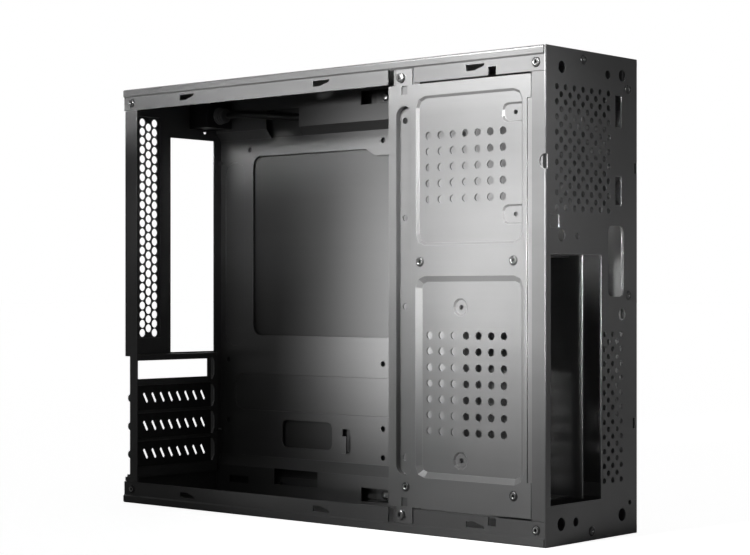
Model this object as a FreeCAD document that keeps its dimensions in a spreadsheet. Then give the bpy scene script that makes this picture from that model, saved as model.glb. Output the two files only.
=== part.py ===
import FreeCAD, Part
import math
import os
import re
import Sketcher

# A slim computer case that stands on its bottom panel. The front faces +X, the open side faces -Y and +Z is up.
# Every size is in millimetres. Places along the case are measured from its front or rear face, places across it
# from the open side or the far side, and heights from its top or bottom.
SIZES = {
    # whole case
    "case_length": 375.0,
    "case_width": 100.0,
    "case_height": 298.0,
    "sheet": 1.0,
    "bend_radius": 1.5,
    "seam": 0.3,
    # edge channels at the top and the bottom
    "edge_strip": 4.8,
    "flange_height": 15.2,
    "slot_rear": 58.7,
    "slot_pitch": 128.1,
    "slot_length": 14.2,
    "slot_drop": 7.6,
    "slot_tall": 3.8,
    "slot_thin": 1.4,
    "notch_front": 37.0,
    "notch_length": 5.9,
    "notch_tall": 5.2,
    "joint_tab_width": 20.0,
    "joint_tab_drop": 11.0,
    "joint_drop": 5.6,
    "joint_top_across": 40.2,
    "joint_bottom_across": 48.8,
    # rivets and screws
    "rivet_shank": 3.2,
    "rivet_head": 6.2,
    "rivet_rise": 0.9,
    "rivet_bulb": 4.2,
    "rivet_tail": 2.0,
    "corner_rivet_rear": 8.0,
    "corner_rivet_front": 7.1,
    "corner_rivet_drop": 10.0,
    "screw_shank": 3.0,
    "screw_head": 6.2,
    "screw_rise": 2.2,
    "screw_length": 5.0,
    "screw_play": 0.6,
    # rear panel
    "rear_flange": 12.7,
    "ear_lap": 5.0,
    "vent_pad_far": 35.0,
    "vent_pad_width": 22.0,
    "vent_pad_top": 17.0,
    "vent_pad_tall": 163.5,
    "hex_across": 5.9,
    "hex_far": 17.8,
    "hex_top": 22.2,
    "hex_pitch": 6.68,
    "hex_column": 5.9,
    "hex_count": 24,
    "port_wide": 44.45,
    "port_tall": 158.75,
    "port_far": 11.1,
    "port_bottom": 107.6,
    "slot_recess_depth": 6.0,
    "slot_recess_bottom": 18.5,
    "slot_recess_tall": 87.0,
    "slot_recess_far": 14.0,
    "shelf_across": 6.5,
    "card_pitch": 20.32,
    "card_bottom": 34.6,
    "card_count": 4,
    "card_open": 13.2,
    "card_far": 22.6,
    "tongue_far": 15.7,
    "tongue_deep": 3.7,
    "tongue_tall": 16.2,
    "tongue_drop": 0.7,
    "lock_hole_far": 20.5,
    "lock_hole_top": 25.3,
    # slot covers
    "cover_plate": 0.9,
    "cover_tall": 18.4,
    "cover_far": 20.3,
    "cover_vent_wide": 2.1,
    "cover_vent_long": 8.2,
    "cover_vent_tilt": 28.0,
    "cover_vent_first": 14.7,
    "cover_vent_pitch": 8.13,
    "cover_vent_count": 8,
    # front panel
    "front_flange": 10.4,
    "vent_hole": 4.0,
    "vent_across": 12.4,
    "vent_top": 23.9,
    "vent_pitch": 9.07,
    "vent_row": 9.04,
    "vent_columns": 7,
    "vent_rows": 9,
    "bay_across": 6.0,
    "bay_wide": 52.8,
    "bay_bottom": 24.5,
    "bay_tall": 149.8,
    "button_hole": 7.5,
    "pilot_hole": 5.5,
    "low_hole": 8.0,
    "near_button_near": 17.6,
    "near_button_top": 12.0,
    "pilot_near": 66.1,
    "pilot_top": 12.4,
    "far_button_near": 81.9,
    "far_button_top": 11.8,
    "middle_button_near": 17.1,
    "middle_hole_near": 33.4,
    "middle_row_top": 112.6,
    "marker_hole": 2.0,
    "marker_far": 33.1,
    "marker_top": 96.6,
    "cable_button_far": 18.1,
    "cable_button_bottom": 137.6,
    "low_row_bottom": 12.8,
    "low_near_near": 16.8,
    "low_pilot_near": 31.9,
    "low_far_far": 18.2,
    "foot_hole_far": 9.6,
    "foot_hole_bottom": 19.9,
    "square_near": 5.3,
    "square_wide": 9.0,
    "square_top": 100.3,
    "square_tall": 7.9,
    "edge_notch_far": 1.2,
    "edge_notch_wide": 3.4,
    "edge_notch_top": 65.3,
    "edge_notch_tall": 6.7,
    "edge_slot_far": 3.5,
    "edge_slot_wide": 2.6,
    "edge_slot_bottom": 65.8,
    "edge_slot_tall": 6.8,
    "bridge_top": 74.5,
    "bridge_tall": 18.3,
    "bridge_depth": 4.0,
    "intake_hole": 3.6,
    "intake_far": 37.7,
    "intake_bottom": 35.2,
    "intake_row": 9.02,
    "intake_column": 4.6,
    "intake_rows": 11,
    "cable_slot_far": 16.5,
    "cable_slot_wide": 17.1,
    "cable_slot_bottom": 148.8,
    "cable_slot_tall": 43.7,
    "strap_far": 19.2,
    "strap_wide": 6.5,
    "strap_upper": 24.5,
    "strap_tall": 19.7,
    "bend_hole": 9.0,
    "bend_hole_top": 69.0,
    # board tray
    "tray_near": 96.0,
    "tray_step": 5.0,
    "tray_top": 31.7,
    "tray_top_slope": 6.3,
    "tray_bottom": 29.8,
    "tray_bottom_slope": 7.8,
    "board_hole": 4.0,
    "board_rear": 10.3,
    "board_bottom": 55.5,
    "board_long": 154.94,
    "board_mid": 72.39,
    "board_tall": 45.72,
    "board_high": 157.48,
    "board_low": 20.32,
    "board_offset": 22.86,
    "window_rear": 36.0,
    "window_long": 171.5,
    "window_bottom": 119.8,
    "window_tall": 133.7,
    "window_slope_rear": 149.0,
    "window_slope_long": 8.9,
    "window_slope_fall": 5.1,
    "window_corner": 8.0,
    "emboss_depth": 0.8,
    "post_emboss_rear": 7.0,
    "post_emboss_wide": 20.5,
    "post_emboss_bottom": 112.0,
    "post_emboss_tall": 137.7,
    "band_emboss_rear": 17.8,
    "band_emboss_long": 230.0,
    "band_emboss_bottom": 64.0,
    "band_emboss_tall": 27.0,
    "cable_window_rear": 66.9,
    "cable_window_long": 49.8,
    "cable_window_bottom": 37.8,
    "cable_window_tall": 20.0,
    "lance_rear": 126.9,
    "lance_wide": 7.1,
    "lance_bottom": 37.6,
    "lance_tall": 16.1,
    "lead_window_rear": 54.9,
    "lead_window_long": 33.6,
    "lead_window_top": 11.5,
    "foot_window_rear": 63.0,
    "foot_window_long": 44.0,
    "foot_window_bottom": 10.5,
    "strip_slot_rear": 15.8,
    "strip_slot_long": 20.7,
    "strip_slot_bottom": 9.0,
    "strip_slot_tall": 5.3,
    "tab_window_rear": 149.1,
    "tab_window_long": 26.4,
    "tab_window_drop": 3.9,
    "tab_window_tall": 9.8,
    "tab_length": 17.0,
    "tray_flange": 14.0,
    "tray_flange_bottom": 135.0,
    "tray_flange_tall": 156.0,
    "tray_rivet_far": 11.2,
    "tray_rivet_high": 278.4,
    "tray_rivet_low": 149.5,
    # far side cover
    "side_fold": 9.0,
    "side_hook_length": 6.0,
    "side_hook_deep": 2.4,
    "side_screw_far": 5.7,
    "side_screw_high": 250.0,
    "side_screw_low": 48.0,
    # drive plate
    "plate_front": 10.9,
    "plate_long": 111.6,
    "plate_gap": 1.2,
    "plate_tab_rear": 6.5,
    "plate_tab_wide": 13.0,
    "plate_screw_place": 10.6,
    "plate_screw_drop": 11.5,
    "seat_notch_side": 1.4,
    "seat_notch_drop": 5.9,
    "seat_long": 23.0,
    "plate_window_wide": 5.0,
    "plate_window_tall": 5.9,
    "plate_lip_drop": 29.5,
    "plate_lip_tall": 231.8,
    "plate_lip_deep": 8.0,
    "rib_rear": 6.3,
    "rib_wide": 12.7,
    "rib_bottom": 36.5,
    "rib_tall": 232.1,
    "rib_depth": 3.8,
    "rib_hole": 4.2,
    "upper_rear": 22.6,
    "upper_long": 83.0,
    "upper_bottom": 180.6,
    "upper_tall": 93.3,
    "upper_depth": 1.6,
    "lower_rear": 22.2,
    "lower_long": 84.0,
    "lower_bottom": 35.6,
    "lower_tall": 125.9,
    "lower_depth": 2.5,
    "upper_slope": 45.0,
    "lower_slope": 55.0,
    "press_corner": 7.0,
    "plate_hole": 4.9,
    "plate_pitch_long": 9.7,
    "plate_pitch_tall": 9.95,
    "plate_hole_rear": 31.5,
    "upper_hole_bottom": 209.2,
    "lower_hole_bottom": 65.0,
    "plate_columns": 7,
    "upper_rows": 5,
    "lower_rows": 7,
    "rib_hole_top": 259.8,
    "rib_hole_upper": 198.4,
    "rib_hole_lower": 142.5,
    "rib_hole_bottom": 47.3,
    "recess_front": 22.6,
    "recess_long": 18.8,
    "recess_tall": 12.0,
    "recess_upper": 253.6,
    "recess_lower": 192.3,
    "recess_depth": 1.2,
    "recess_corner": 4.0,
    "recess_hole": 3.0,
    "dimple": 11.0,
    "dimple_front": 55.5,
    "dimple_high": 142.2,
    "dimple_low": 47.6,
    "dimple_depth": 1.2,
    "dimple_mark": 3.0,
    # drive cage
    "cage_rear": 21.0,
    "cage_front": 6.5,
    "cage_bottom": 25.0,
    "cage_tall": 149.0,
    "cage_across": 48.0,
    "cage_flange": 8.2,
    "cage_rivet_drop": 3.6,
    "cage_rivet_front": 23.8,
    "cage_rivet_rear": 96.7,
    "cage_rivet_low_rear": 108.3,
    "cage_hole": 9.0,
    "cage_hole_front": 38.0,
    "cage_hole_pitch": 16.5,
    "cage_hole_bottom": 81.8,
    "cage_small_hole": 4.0,
    "cage_small_front": 31.5,
    "cage_small_high": 129.7,
    "cage_small_low": 66.6,
    "cage_low_lift": 0.6,
    "cage_run_on": 8.0,
    # power inlet and lead
    "inlet_far": 10.4,
    "inlet_wide": 26.0,
    "inlet_top": 4.5,
    "inlet_tall": 19.5,
    "inlet_deep": 18.5,
    "inlet_rim": 1.6,
    "inlet_wall": 1.7,
    "inlet_floor": 3.0,
    "inlet_corner": 5.0,
    "blade_wide": 4.0,
    "blade_thick": 2.0,
    "blade_spread": 7.0,
    "blade_rise": 2.0,
    "boot_across": 76.8,
    "boot_top": 14.6,
    "boot_width": 13.0,
    "boot_length": 7.0,
    "boot_groove": 1.0,
    "lead_width": 5.8,
    "lead_first": 16.0,
    "lead_second": 56.0,
    "lead_third": 94.0,
    "lead_far": 4.9,
    "lead_top": 18.4,
    "lead_radius": 30.0,
}

# large and small round holes are drawn with few flat sides, and the board's screw holes are truly round
ROUND = 0
MANY_SIDES = 10

FRONT = "(case_length / 2)"
REAR = "(-case_length / 2)"
NEAR = "(-case_width / 2)"
FAR = "(case_width / 2)"

doc = FreeCAD.newDocument("SlimCase")
sheet = doc.addObject("Spreadsheet::Sheet", "Sizes")
for row, (size_name, size_value) in enumerate(SIZES.items(), start=1):
    sheet.set(f"A{row}", size_name.replace("_", " "))
    sheet.set(f"B{row}", str(size_value))
    sheet.setAlias(f"B{row}", size_name)
doc.recompute()


def bound(text):
    """The same expression with the sheet's name before each size."""
    return re.sub(r"[a-z_]+", lambda word: "Sizes." + word[0] if word[0] in SIZES else word[0], str(text))


def number(text):
    """What an expression comes to with the sizes as they are."""
    return float(sheet.evalExpression(bound(text)))


def top(distance):
    """A height measured down from the top."""
    return f"(case_height - ({distance}))"


def bottom(distance):
    """A height measured up from the bottom."""
    return f"({distance})"


def inwards_near(distance):
    """A place across the case, measured from the open side."""
    return f"({NEAR} + ({distance}))"


def inwards_far(distance):
    """A place across the case, measured from the far side."""
    return f"({FAR} - ({distance}))"


def forward(distance):
    """A place along the case, measured from the rear face."""
    return f"({REAR} + ({distance}))"


def backward(distance):
    """A place along the case, measured from the front face."""
    return f"({FRONT} - ({distance}))"


def rectangle(x_low, x_high, y_low, y_high):
    return [(x_low, y_low), (x_high, y_low), (x_high, y_high), (x_low, y_high)]


def cut_rectangle(x_low, x_high, y_low, y_high, corner):
    """A rectangle whose round corners are drawn with two chords each."""
    near_end = f"({corner}) * (1 - cos(45 deg))"
    return [
        (f"{x_low} + {corner}", y_low), (f"{x_high} - {corner}", y_low),
        (f"{x_high} - {near_end}", f"{y_low} + {near_end}"),
        (x_high, f"{y_low} + {corner}"), (x_high, f"{y_high} - {corner}"),
        (f"{x_high} - {near_end}", f"{y_high} - {near_end}"),
        (f"{x_high} - {corner}", y_high), (f"{x_low} + {corner}", y_high),
        (f"{x_low} + {near_end}", f"{y_high} - {near_end}"),
        (x_low, f"{y_high} - {corner}"), (x_low, f"{y_low} + {corner}"),
        (f"{x_low} + {near_end}", f"{y_low} + {near_end}"),
    ]


def even_sided(x, y, across, sides, turn=0.0):
    """A regular outline that is `across` from flat to flat."""
    radius = f"({across}) / 2 / cos({180 / sides} deg)"
    angles = [turn + 360 / sides * corner for corner in range(sides)]
    return [(f"({x}) + {radius} * cos({a} deg)", f"({y}) + {radius} * sin({a} deg)") for a in angles]


def hole_field(role, start, end, outline, pitches, counts):
    """Prisms through a plate: one outline repeated along the sketch's two directions."""
    first, last = number(start), number(end)
    steps = [number(pitch) for pitch in pitches]
    columns, rows = (round(number(count)) for count in counts)
    corners = [(number(x), number(y)) for x, y in outline]
    prisms = []
    for column in range(columns):
        for row in range(rows):
            flat = [(x + column * steps[0], y + row * steps[1]) for x, y in corners]
            if role == "XZ_Plane":
                points = [FreeCAD.Vector(x, first, y) for x, y in flat]
                through = FreeCAD.Vector(0, last - first, 0)
            else:
                points = [FreeCAD.Vector(first, x, y) for x, y in flat]
                through = FreeCAD.Vector(last - first, 0, 0)
            prisms.append(Part.Face(Part.makePolygon(points + points[:1])).extrude(through))
    return prisms


class Outline:
    """A sketch whose points, centres and radii are all bound to the sheet."""

    def __init__(self, sketch):
        self.sketch = sketch
        self.curves = []
        self.helpers = []
        self.constraints = []
        self.sizes = []

    def draw(self, *curves):
        """The numbers that the curves get in the sketch."""
        first = len(self.curves)
        self.curves += curves
        return list(range(first, len(self.curves)))

    def relate(self, *constraint):
        self.constraints.append(Sketcher.Constraint(*constraint))

    def bind(self, text, *constraint):
        """A constraint whose last value follows an expression."""
        self.sizes.append((len(self.constraints), text))
        self.relate(*constraint, number(text))

    def place_point(self, element, end, x, y):
        self.bind(x, "DistanceX", -1, 1, element, end)
        self.bind(y, "DistanceY", -1, 1, element, end)

    def loop(self, corners):
        """Straight lines from corner to corner and back to the first."""
        lines = self.draw(*(Part.LineSegment(corner, corners[(index + 1) % len(corners)])
                            for index, corner in enumerate(corners)))
        for index, line in enumerate(lines):
            self.relate("Coincident", line, 2, lines[(index + 1) % len(lines)], 1)
        return lines

    def polygon(self, points):
        lines = self.loop([FreeCAD.Vector(number(x), number(y), 0) for x, y in points])
        for line, (x, y) in zip(lines, points):
            self.place_point(line, 1, x, y)

    def circle(self, x, y, radius):
        centre = FreeCAD.Vector(number(x), number(y), 0)
        ring = self.draw(Part.Circle(centre, FreeCAD.Vector(0, 0, 1), number(radius)))[0]
        self.place_point(ring, 3, x, y)
        self.bind(radius, "Radius", ring)
        return ring

    def hole(self, x, y, across, sides=6):
        """A hole that is `across` wide between its flats, or a round one where it has no sides."""
        if sides == ROUND:
            self.circle(x, y, f"({across}) / 2")
            return
        radius = f"({across}) / 2 / cos({180 / sides} deg)"
        ring = self.circle(x, y, radius)
        self.helpers.append(ring)
        centre = FreeCAD.Vector(number(x), number(y), 0)
        turn = 2 * math.pi / sides
        lines = self.loop([centre + FreeCAD.Vector(math.cos(turn * k), math.sin(turn * k), 0) * number(radius)
                           for k in range(sides)])
        for line in lines:
            self.relate("PointOnObject", line, 1, ring)
        for line in lines[1:]:
            self.relate("Equal", lines[0], line)
        self.relate("Horizontal", lines[0], 1, ring, 3)

    def slot(self, first, second, width):
        """A slot with round ends about two centres."""
        centres = [FreeCAD.Vector(number(x), number(y), 0) for x, y in (first, second)]
        along = (centres[1] - centres[0]).normalize()
        heading = math.atan2(along.y, along.x)
        radius = number(width) / 2
        side = FreeCAD.Vector(-along.y, along.x, 0) * radius
        quarter = math.pi / 2
        arcs = []
        for centre, start in zip(centres, (heading + quarter, heading - quarter)):
            full = Part.Circle(centre, FreeCAD.Vector(0, 0, 1), radius)
            arcs += self.draw(Part.ArcOfCircle(full, start, start + math.pi))
        lower, upper = self.draw(Part.LineSegment(centres[0] - side, centres[1] - side),
                                 Part.LineSegment(centres[1] + side, centres[0] + side))
        joints = ((arcs[0], 2, lower, 1), (lower, 2, arcs[1], 1), (arcs[1], 2, upper, 1), (upper, 2, arcs[0], 1))
        for joint in joints:
            self.relate("Tangent", *joint)
        for arc, (x, y) in zip(arcs, (first, second)):
            self.place_point(arc, 3, x, y)
        self.bind(f"({width}) / 2", "Radius", arcs[0])

    def finish(self):
        """Puts all curves and constraints into the sketch at once, so that it is solved only once."""
        self.sketch.addGeometry(self.curves)
        for helper in self.helpers:
            self.sketch.toggleConstruction(helper)
        self.sketch.addConstraint(self.constraints)
        for place, text in self.sizes:
            self.sketch.setExpression(f"Constraints[{place}]", bound(text))


class Piece:
    """A body made of pads, pockets, patterns and fillets whose sizes are bound to the sheet."""

    # which way each origin plane's sketches grow, and the two axes that they show
    NORMALS = {"XY_Plane": 1, "XZ_Plane": -1, "YZ_Plane": 1}

    def __init__(self, label):
        self.body = doc.addObject("PartDesign::Body", label)
        self.body.Label = label
        self.count = 0
        self.volume = 0.0

    def sketch(self, role, level, polygons, holes, slots):
        self.count += 1
        sketch = self.body.newObject("Sketcher::SketchObject", f"{self.body.Label}_outline_{self.count}")
        plane = [feature for feature in self.body.Origin.OriginFeatures if feature.Role == role][0]
        sketch.AttachmentSupport = [(plane, "")]
        sketch.MapMode = "FlatFace"
        sketch.setExpression("AttachmentOffset.Base.z", bound(f"{self.NORMALS[role]} * ({level})"))
        outline = Outline(sketch)
        for points in polygons:
            outline.polygon(points)
        for place in holes:
            outline.hole(*place)
        for first, second, width in slots:
            outline.slot(first, second, width)
        outline.finish()
        return sketch

    def grow(self, kind, role, start, end, taper, polygons, holes, slots):
        feature_sketch = self.sketch(role, start, polygons, holes, slots)
        feature = self.body.newObject(f"PartDesign::{kind}", f"{self.body.Label}_{kind.lower()}_{self.count}")
        feature.Profile = feature_sketch
        feature.setExpression("Length", bound(f"abs(({end}) - ({start}))"))
        if taper is not None:
            feature.setExpression("TaperAngle", bound(taper))
        along = (number(end) > number(start)) == (self.NORMALS[role] > 0)
        feature.Reversed = along if kind == "Pocket" else not along
        feature.recompute(True)
        before, self.volume = self.volume, feature.Shape.Volume
        if abs(self.volume - before) < 0.01:
            raise RuntimeError(f"{feature.Label} changed nothing")
        return feature

    def pad(self, role, start, end, polygons=(), holes=(), slots=(), taper=None):
        return self.grow("Pad", role, start, end, taper, polygons, holes, slots)

    def pocket(self, role, start, end, polygons=(), holes=(), slots=(), taper=None):
        return self.grow("Pocket", role, start, end, taper, polygons, holes, slots)

    def repeat(self, feature, *directions):
        """Repeats a feature along one or two of its sketch's axes: (axis, pitch, count, backwards)."""
        self.count += 1
        pattern = self.body.newObject("PartDesign::LinearPattern", f"{self.body.Label}_pattern_{self.count}")
        pattern.Originals = [feature]
        for suffix, (axis, pitch, count, backwards) in zip(("", "2"), directions):
            setattr(pattern, "Direction" + suffix, (feature.Profile[0], [axis]))
            setattr(pattern, "Mode" + suffix, "Spacing")
            setattr(pattern, "Reversed" + suffix, backwards)
            pattern.setExpression("Offset" + suffix, bound(pitch))
            pattern.setExpression("Occurrences" + suffix, bound(count))
        self.body.Tip = pattern
        pattern.recompute(True)
        self.volume = pattern.Shape.Volume
        return pattern

    def round(self, radius, axis, corners):
        """Rounds the edges that run along an axis through the given corners."""
        base = self.body.Tip
        others = [place for place in range(3) if place != axis]
        wanted = [[number(value) for value in corner] for corner in corners]
        chosen = []
        for index, edge in enumerate(base.Shape.Edges, start=1):
            first, last = edge.Vertexes[0].Point, edge.Vertexes[-1].Point
            straight = abs(abs(last[axis] - first[axis]) - edge.Length) < 1e-6
            if not straight:
                continue
            for corner in wanted:
                if all(abs(first[other] - value) < 1e-4 for other, value in zip(others, corner)):
                    chosen.append(f"Edge{index}")
        if not chosen:
            raise RuntimeError(f"{self.body.Label} has no edge to round")
        self.count += 1
        fillet = self.body.newObject("PartDesign::Fillet", f"{self.body.Label}_fillet_{self.count}")
        fillet.Base = (base, chosen)
        fillet.setExpression("Radius", bound(radius))
        fillet.recompute(True)
        self.volume = fillet.Shape.Volume
        return fillet

    def perforate(self, label, *fields):
        """Cuts whole fields of holes in one step, so the node is the sheet less its holes."""
        holes = doc.addObject("Part::Feature", f"{label}_holes")
        holes.Shape = Part.makeCompound([prism for field in fields for prism in field])
        self.body.Label = f"{label}_sheet"
        pierced = doc.addObject("Part::Cut", label)
        pierced.Base = self.body
        pierced.Tool = holes
        pierced.Label = label
        return pierced

    def press(self, outline, start, depth, slope):
        """Presses a field inwards out of a sheet on the open side. `outline` draws the field's edge, grown by an
        amount; the walls slope down to a flat floor."""
        wall = f"(sheet * (1 - sin({slope} * 1 deg)) / cos({slope} * 1 deg))"
        inner = f"({start} + sheet)"
        self.pad("XZ_Plane", inner, f"{inner} + {depth}", [outline(wall)], taper=f"-({slope})")
        self.pocket("XZ_Plane", start, f"{start} + {depth}", [outline("0")], taper=f"-({slope})")


def edge_channel(label, level, joint_across):
    """The top or bottom: a web with a stepped flange down each long side. The edge strip stands one sheet proud
    of the flange below it, so that a side cover lies flush between the strips."""
    panel = Piece(label)
    near, far = inwards_near, inwards_far
    half = []
    for side in (near, far):
        half.append([
            (side("0"), level("0")),
            (side("0"), level("edge_strip")),
            (side("sheet"), level("edge_strip + sheet")),
            (side("sheet"), level("flange_height")),
            (side("2 * sheet"), level("flange_height")),
            (side("2 * sheet"), level("edge_strip + sheet * tan(30 deg)")),
            (side("sheet"), level("edge_strip - sheet * tan(22.5 deg)")),
            (side("sheet"), level("sheet")),
        ])
    panel.pad("YZ_Plane", REAR, backward("sheet"), [half[0] + half[1][::-1]])
    outer_corners = [(side("0"), level("0")) for side in (near, far)]
    inner_corners = [(side("sheet"), level("sheet")) for side in (near, far)]
    panel.round("bend_radius", 0, outer_corners)
    panel.round("bend_radius - sheet", 0, inner_corners)
    # tapered hook slots, an open notch and the corner rivets' holes, through both flanges
    hook = [
        (forward("slot_rear"), level("slot_drop")),
        (forward("slot_rear + slot_length"), level("slot_drop")),
        (forward("slot_rear + slot_length"), level("slot_drop + slot_thin")),
        (forward("slot_rear + slot_length * 0.45"), level("slot_drop + slot_tall")),
        (forward("slot_rear"), level("slot_drop + slot_tall")),
    ]
    slots = panel.pocket("XZ_Plane", near("0"), far("0"), [hook])
    panel.repeat(slots, ("H_Axis", "slot_pitch", 3, False))
    notch = rectangle(backward("notch_front + notch_length"), backward("notch_front"),
                      level("flange_height - notch_tall"), level("flange_height + 1"))
    corner_holes = [(place, level("corner_rivet_drop"), "rivet_shank")
                    for place in (forward("corner_rivet_rear"), backward("corner_rivet_front"))]
    panel.pocket("XZ_Plane", near("0"), far("0"), [notch], corner_holes)
    panel.pocket("XZ_Plane", far("sheet / 2"), far("3 * sheet"), [],
                 [(forward("tab_window_rear + tab_window_long - tab_length / 2"),
                   level("tab_window_drop + tab_window_tall / 2"), "rivet_shank")])
    # the drive plate's screw tab lies in a notch of the near flange, on a seat one sheet further in
    seat_rear = "plate_front + plate_long - plate_tab_rear + seat_notch_side * 5"
    seat_front = "plate_front + plate_long - plate_tab_rear - plate_tab_wide - seat_notch_side"
    panel.pocket("XZ_Plane", near("sheet / 2"), near("2 * sheet"),
                 [rectangle(backward(seat_rear), backward(seat_front),
                            level("seat_notch_drop"), level("flange_height + 1"))])
    panel.pad("XZ_Plane", near("2 * sheet"), near("3 * sheet"),
              [rectangle(backward(f"{seat_rear} - 4 * sheet"), backward(f"{seat_front} - 4 * sheet"),
                         level("seat_notch_drop - sheet / 2"), level("seat_long"))])
    panel.pocket("XZ_Plane", near("2 * sheet"), near("3 * sheet"), [],
                 [(backward("plate_front + plate_long - plate_screw_place"), level("plate_screw_drop"),
                   "screw_shank")])
    # a tab folded behind the front panel
    panel.pad("YZ_Plane", backward("2 * sheet"), backward("sheet"),
              [rectangle(near(f"{joint_across} - joint_tab_width / 2"), near(f"{joint_across} + joint_tab_width / 2"),
                         level("sheet / 2"), level("joint_tab_drop"))])
    panel.pocket("YZ_Plane", backward("2 * sheet"), backward("sheet"), [],
                 [(near(joint_across), level("joint_drop"), "rivet_shank")])
    return panel


def ears_and_flanges(panel, place, outer_depth, flange_end, rivet_place):
    """Adds the side flanges and their ears to an end plate, and the ears' rivet holes."""
    low, high = "flange_height + seam", "case_height - flange_height - seam"
    for side in (inwards_near, inwards_far):
        panel.pad("XZ_Plane", side("sheet"), side("2 * sheet"),
                  [rectangle(place(outer_depth), place(flange_end), low, high)])
        for level in (top, bottom):
            panel.pad("XZ_Plane", side("2 * sheet"), side("3 * sheet"),
                      [rectangle(place(outer_depth), place(flange_end),
                                 level("2 * sheet"), level("flange_height + ear_lap"))])
            panel.pocket("XZ_Plane", side("2 * sheet"), side("3 * sheet"), [],
                         [(place(rivet_place), level("corner_rivet_drop"), "rivet_shank")])


def make_rear_panel():
    panel = Piece("rear_panel")
    outer, inner = forward("sheet"), forward("2 * sheet")
    narrow = rectangle(inwards_near("2 * sheet"), inwards_far("2 * sheet"), "sheet", top("sheet"))
    panel.pad("YZ_Plane", outer, inner, [narrow])
    ears_and_flanges(panel, forward, "sheet", "sheet + rear_flange", "corner_rivet_rear")
    # vent field on a pad pressed one sheet outwards
    pad_low, pad_high = inwards_near("vent_pad_far - vent_pad_width"), inwards_near("vent_pad_far")
    pad_base, pad_top = top("vent_pad_top + vent_pad_tall"), top("vent_pad_top")
    panel.pad("YZ_Plane", outer, REAR, [rectangle(pad_low, pad_high, pad_base, pad_top)])
    panel.pocket("YZ_Plane", inner, outer,
                 [rectangle(f"{pad_low} + sheet", f"{pad_high} - sheet", f"{pad_base} + sheet",
                            f"{pad_top} - sheet")])
    # opening for the board's connectors, the inlet's opening and a small locking hole
    inlet = rectangle(inwards_far("inlet_far + inlet_wide"), inwards_far("inlet_far"),
                      top("inlet_top + inlet_tall"), top("inlet_top"))
    port = rectangle(inwards_far("port_far + port_wide"), inwards_far("port_far"),
                     "port_bottom", "port_bottom + port_tall")
    side_screws = [(inwards_far("side_screw_far"), height, "screw_shank")
                   for height in ("side_screw_high", "side_screw_low")]
    panel.pocket("YZ_Plane", inner, outer, [port, inlet],
                 [(inwards_far("lock_hole_far"), top("lock_hole_top"), "rivet_shank")] + side_screws)
    # the slot area lies further in: an open near corner, a floor, a ledge above and below, and the shelf
    recess_base = "slot_recess_bottom"
    recess_top = "slot_recess_bottom + slot_recess_tall"
    recess_far = inwards_far("slot_recess_far")
    floor_out, floor_in = forward("slot_recess_depth"), forward("slot_recess_depth + sheet")
    panel.pocket("YZ_Plane", REAR, inner,
                 [rectangle(NEAR, recess_far, recess_base, recess_top)])
    panel.pocket("XZ_Plane", NEAR, inwards_near("2 * sheet"),
                 [rectangle(REAR, floor_out, recess_base, recess_top)])
    shelf = inwards_near("shelf_across")
    panel.pad("YZ_Plane", floor_in, floor_out, [rectangle(shelf, recess_far, recess_base, recess_top)])
    for base, height in ((f"{recess_base} - sheet", recess_base), (recess_top, f"{recess_top} + sheet")):
        panel.pad("YZ_Plane", floor_in, outer, [rectangle(shelf, f"{recess_far} + sheet", base, height)])
    panel.pad("YZ_Plane", floor_in, outer, [rectangle(recess_far, f"{recess_far} + sheet", recess_base, recess_top)])
    panel.pad("YZ_Plane", floor_in, outer, [rectangle(shelf, f"{shelf} + sheet", recess_base, recess_top)])
    card = panel.pocket("YZ_Plane", floor_in, floor_out,
                        [rectangle(f"{shelf} + sheet", inwards_far("card_far"),
                                   "card_bottom - card_open / 2", "card_bottom + card_open / 2")])
    panel.repeat(card, ("V_Axis", "card_pitch", "card_count", False))
    tongue_low, tongue_high = "card_bottom - tongue_drop - tongue_tall / 2", "card_bottom - tongue_drop + tongue_tall / 2"
    near_edge = inwards_far("tongue_far + tongue_deep")
    far_edge = inwards_far("tongue_far")
    tongue = panel.pocket("YZ_Plane", floor_in, floor_out,
                          [[(near_edge, tongue_low), (f"{far_edge} - tongue_deep / 2", tongue_low),
                            (far_edge, f"{tongue_low} + tongue_deep"), (far_edge, f"{tongue_high} - tongue_deep"),
                            (f"{far_edge} - tongue_deep / 2", tongue_high), (near_edge, tongue_high)]])
    panel.repeat(tongue, ("V_Axis", "card_pitch", "card_count", False))
    hole = panel.pocket("XZ_Plane", shelf, f"{shelf} + sheet", [],
                        [(forward("(slot_recess_depth + sheet) / 2"), "card_bottom", "screw_shank")])
    panel.repeat(hole, ("V_Axis", "card_pitch", "card_count", False))
    outer_columns = even_sided(inwards_near("hex_far"), top("hex_top"), "hex_across", 6)
    middle_column = even_sided(inwards_near("hex_far + hex_column"), top("hex_top + hex_pitch / 2"), "hex_across", 6)
    return panel.perforate(
        "rear_panel",
        hole_field("YZ_Plane", REAR, inner, outer_columns, ("2 * hex_column", "-hex_pitch"), (2, "hex_count")),
        hole_field("YZ_Plane", REAR, inner, middle_column, ("0", "-hex_pitch"), (1, "hex_count - 1")),
    )


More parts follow.
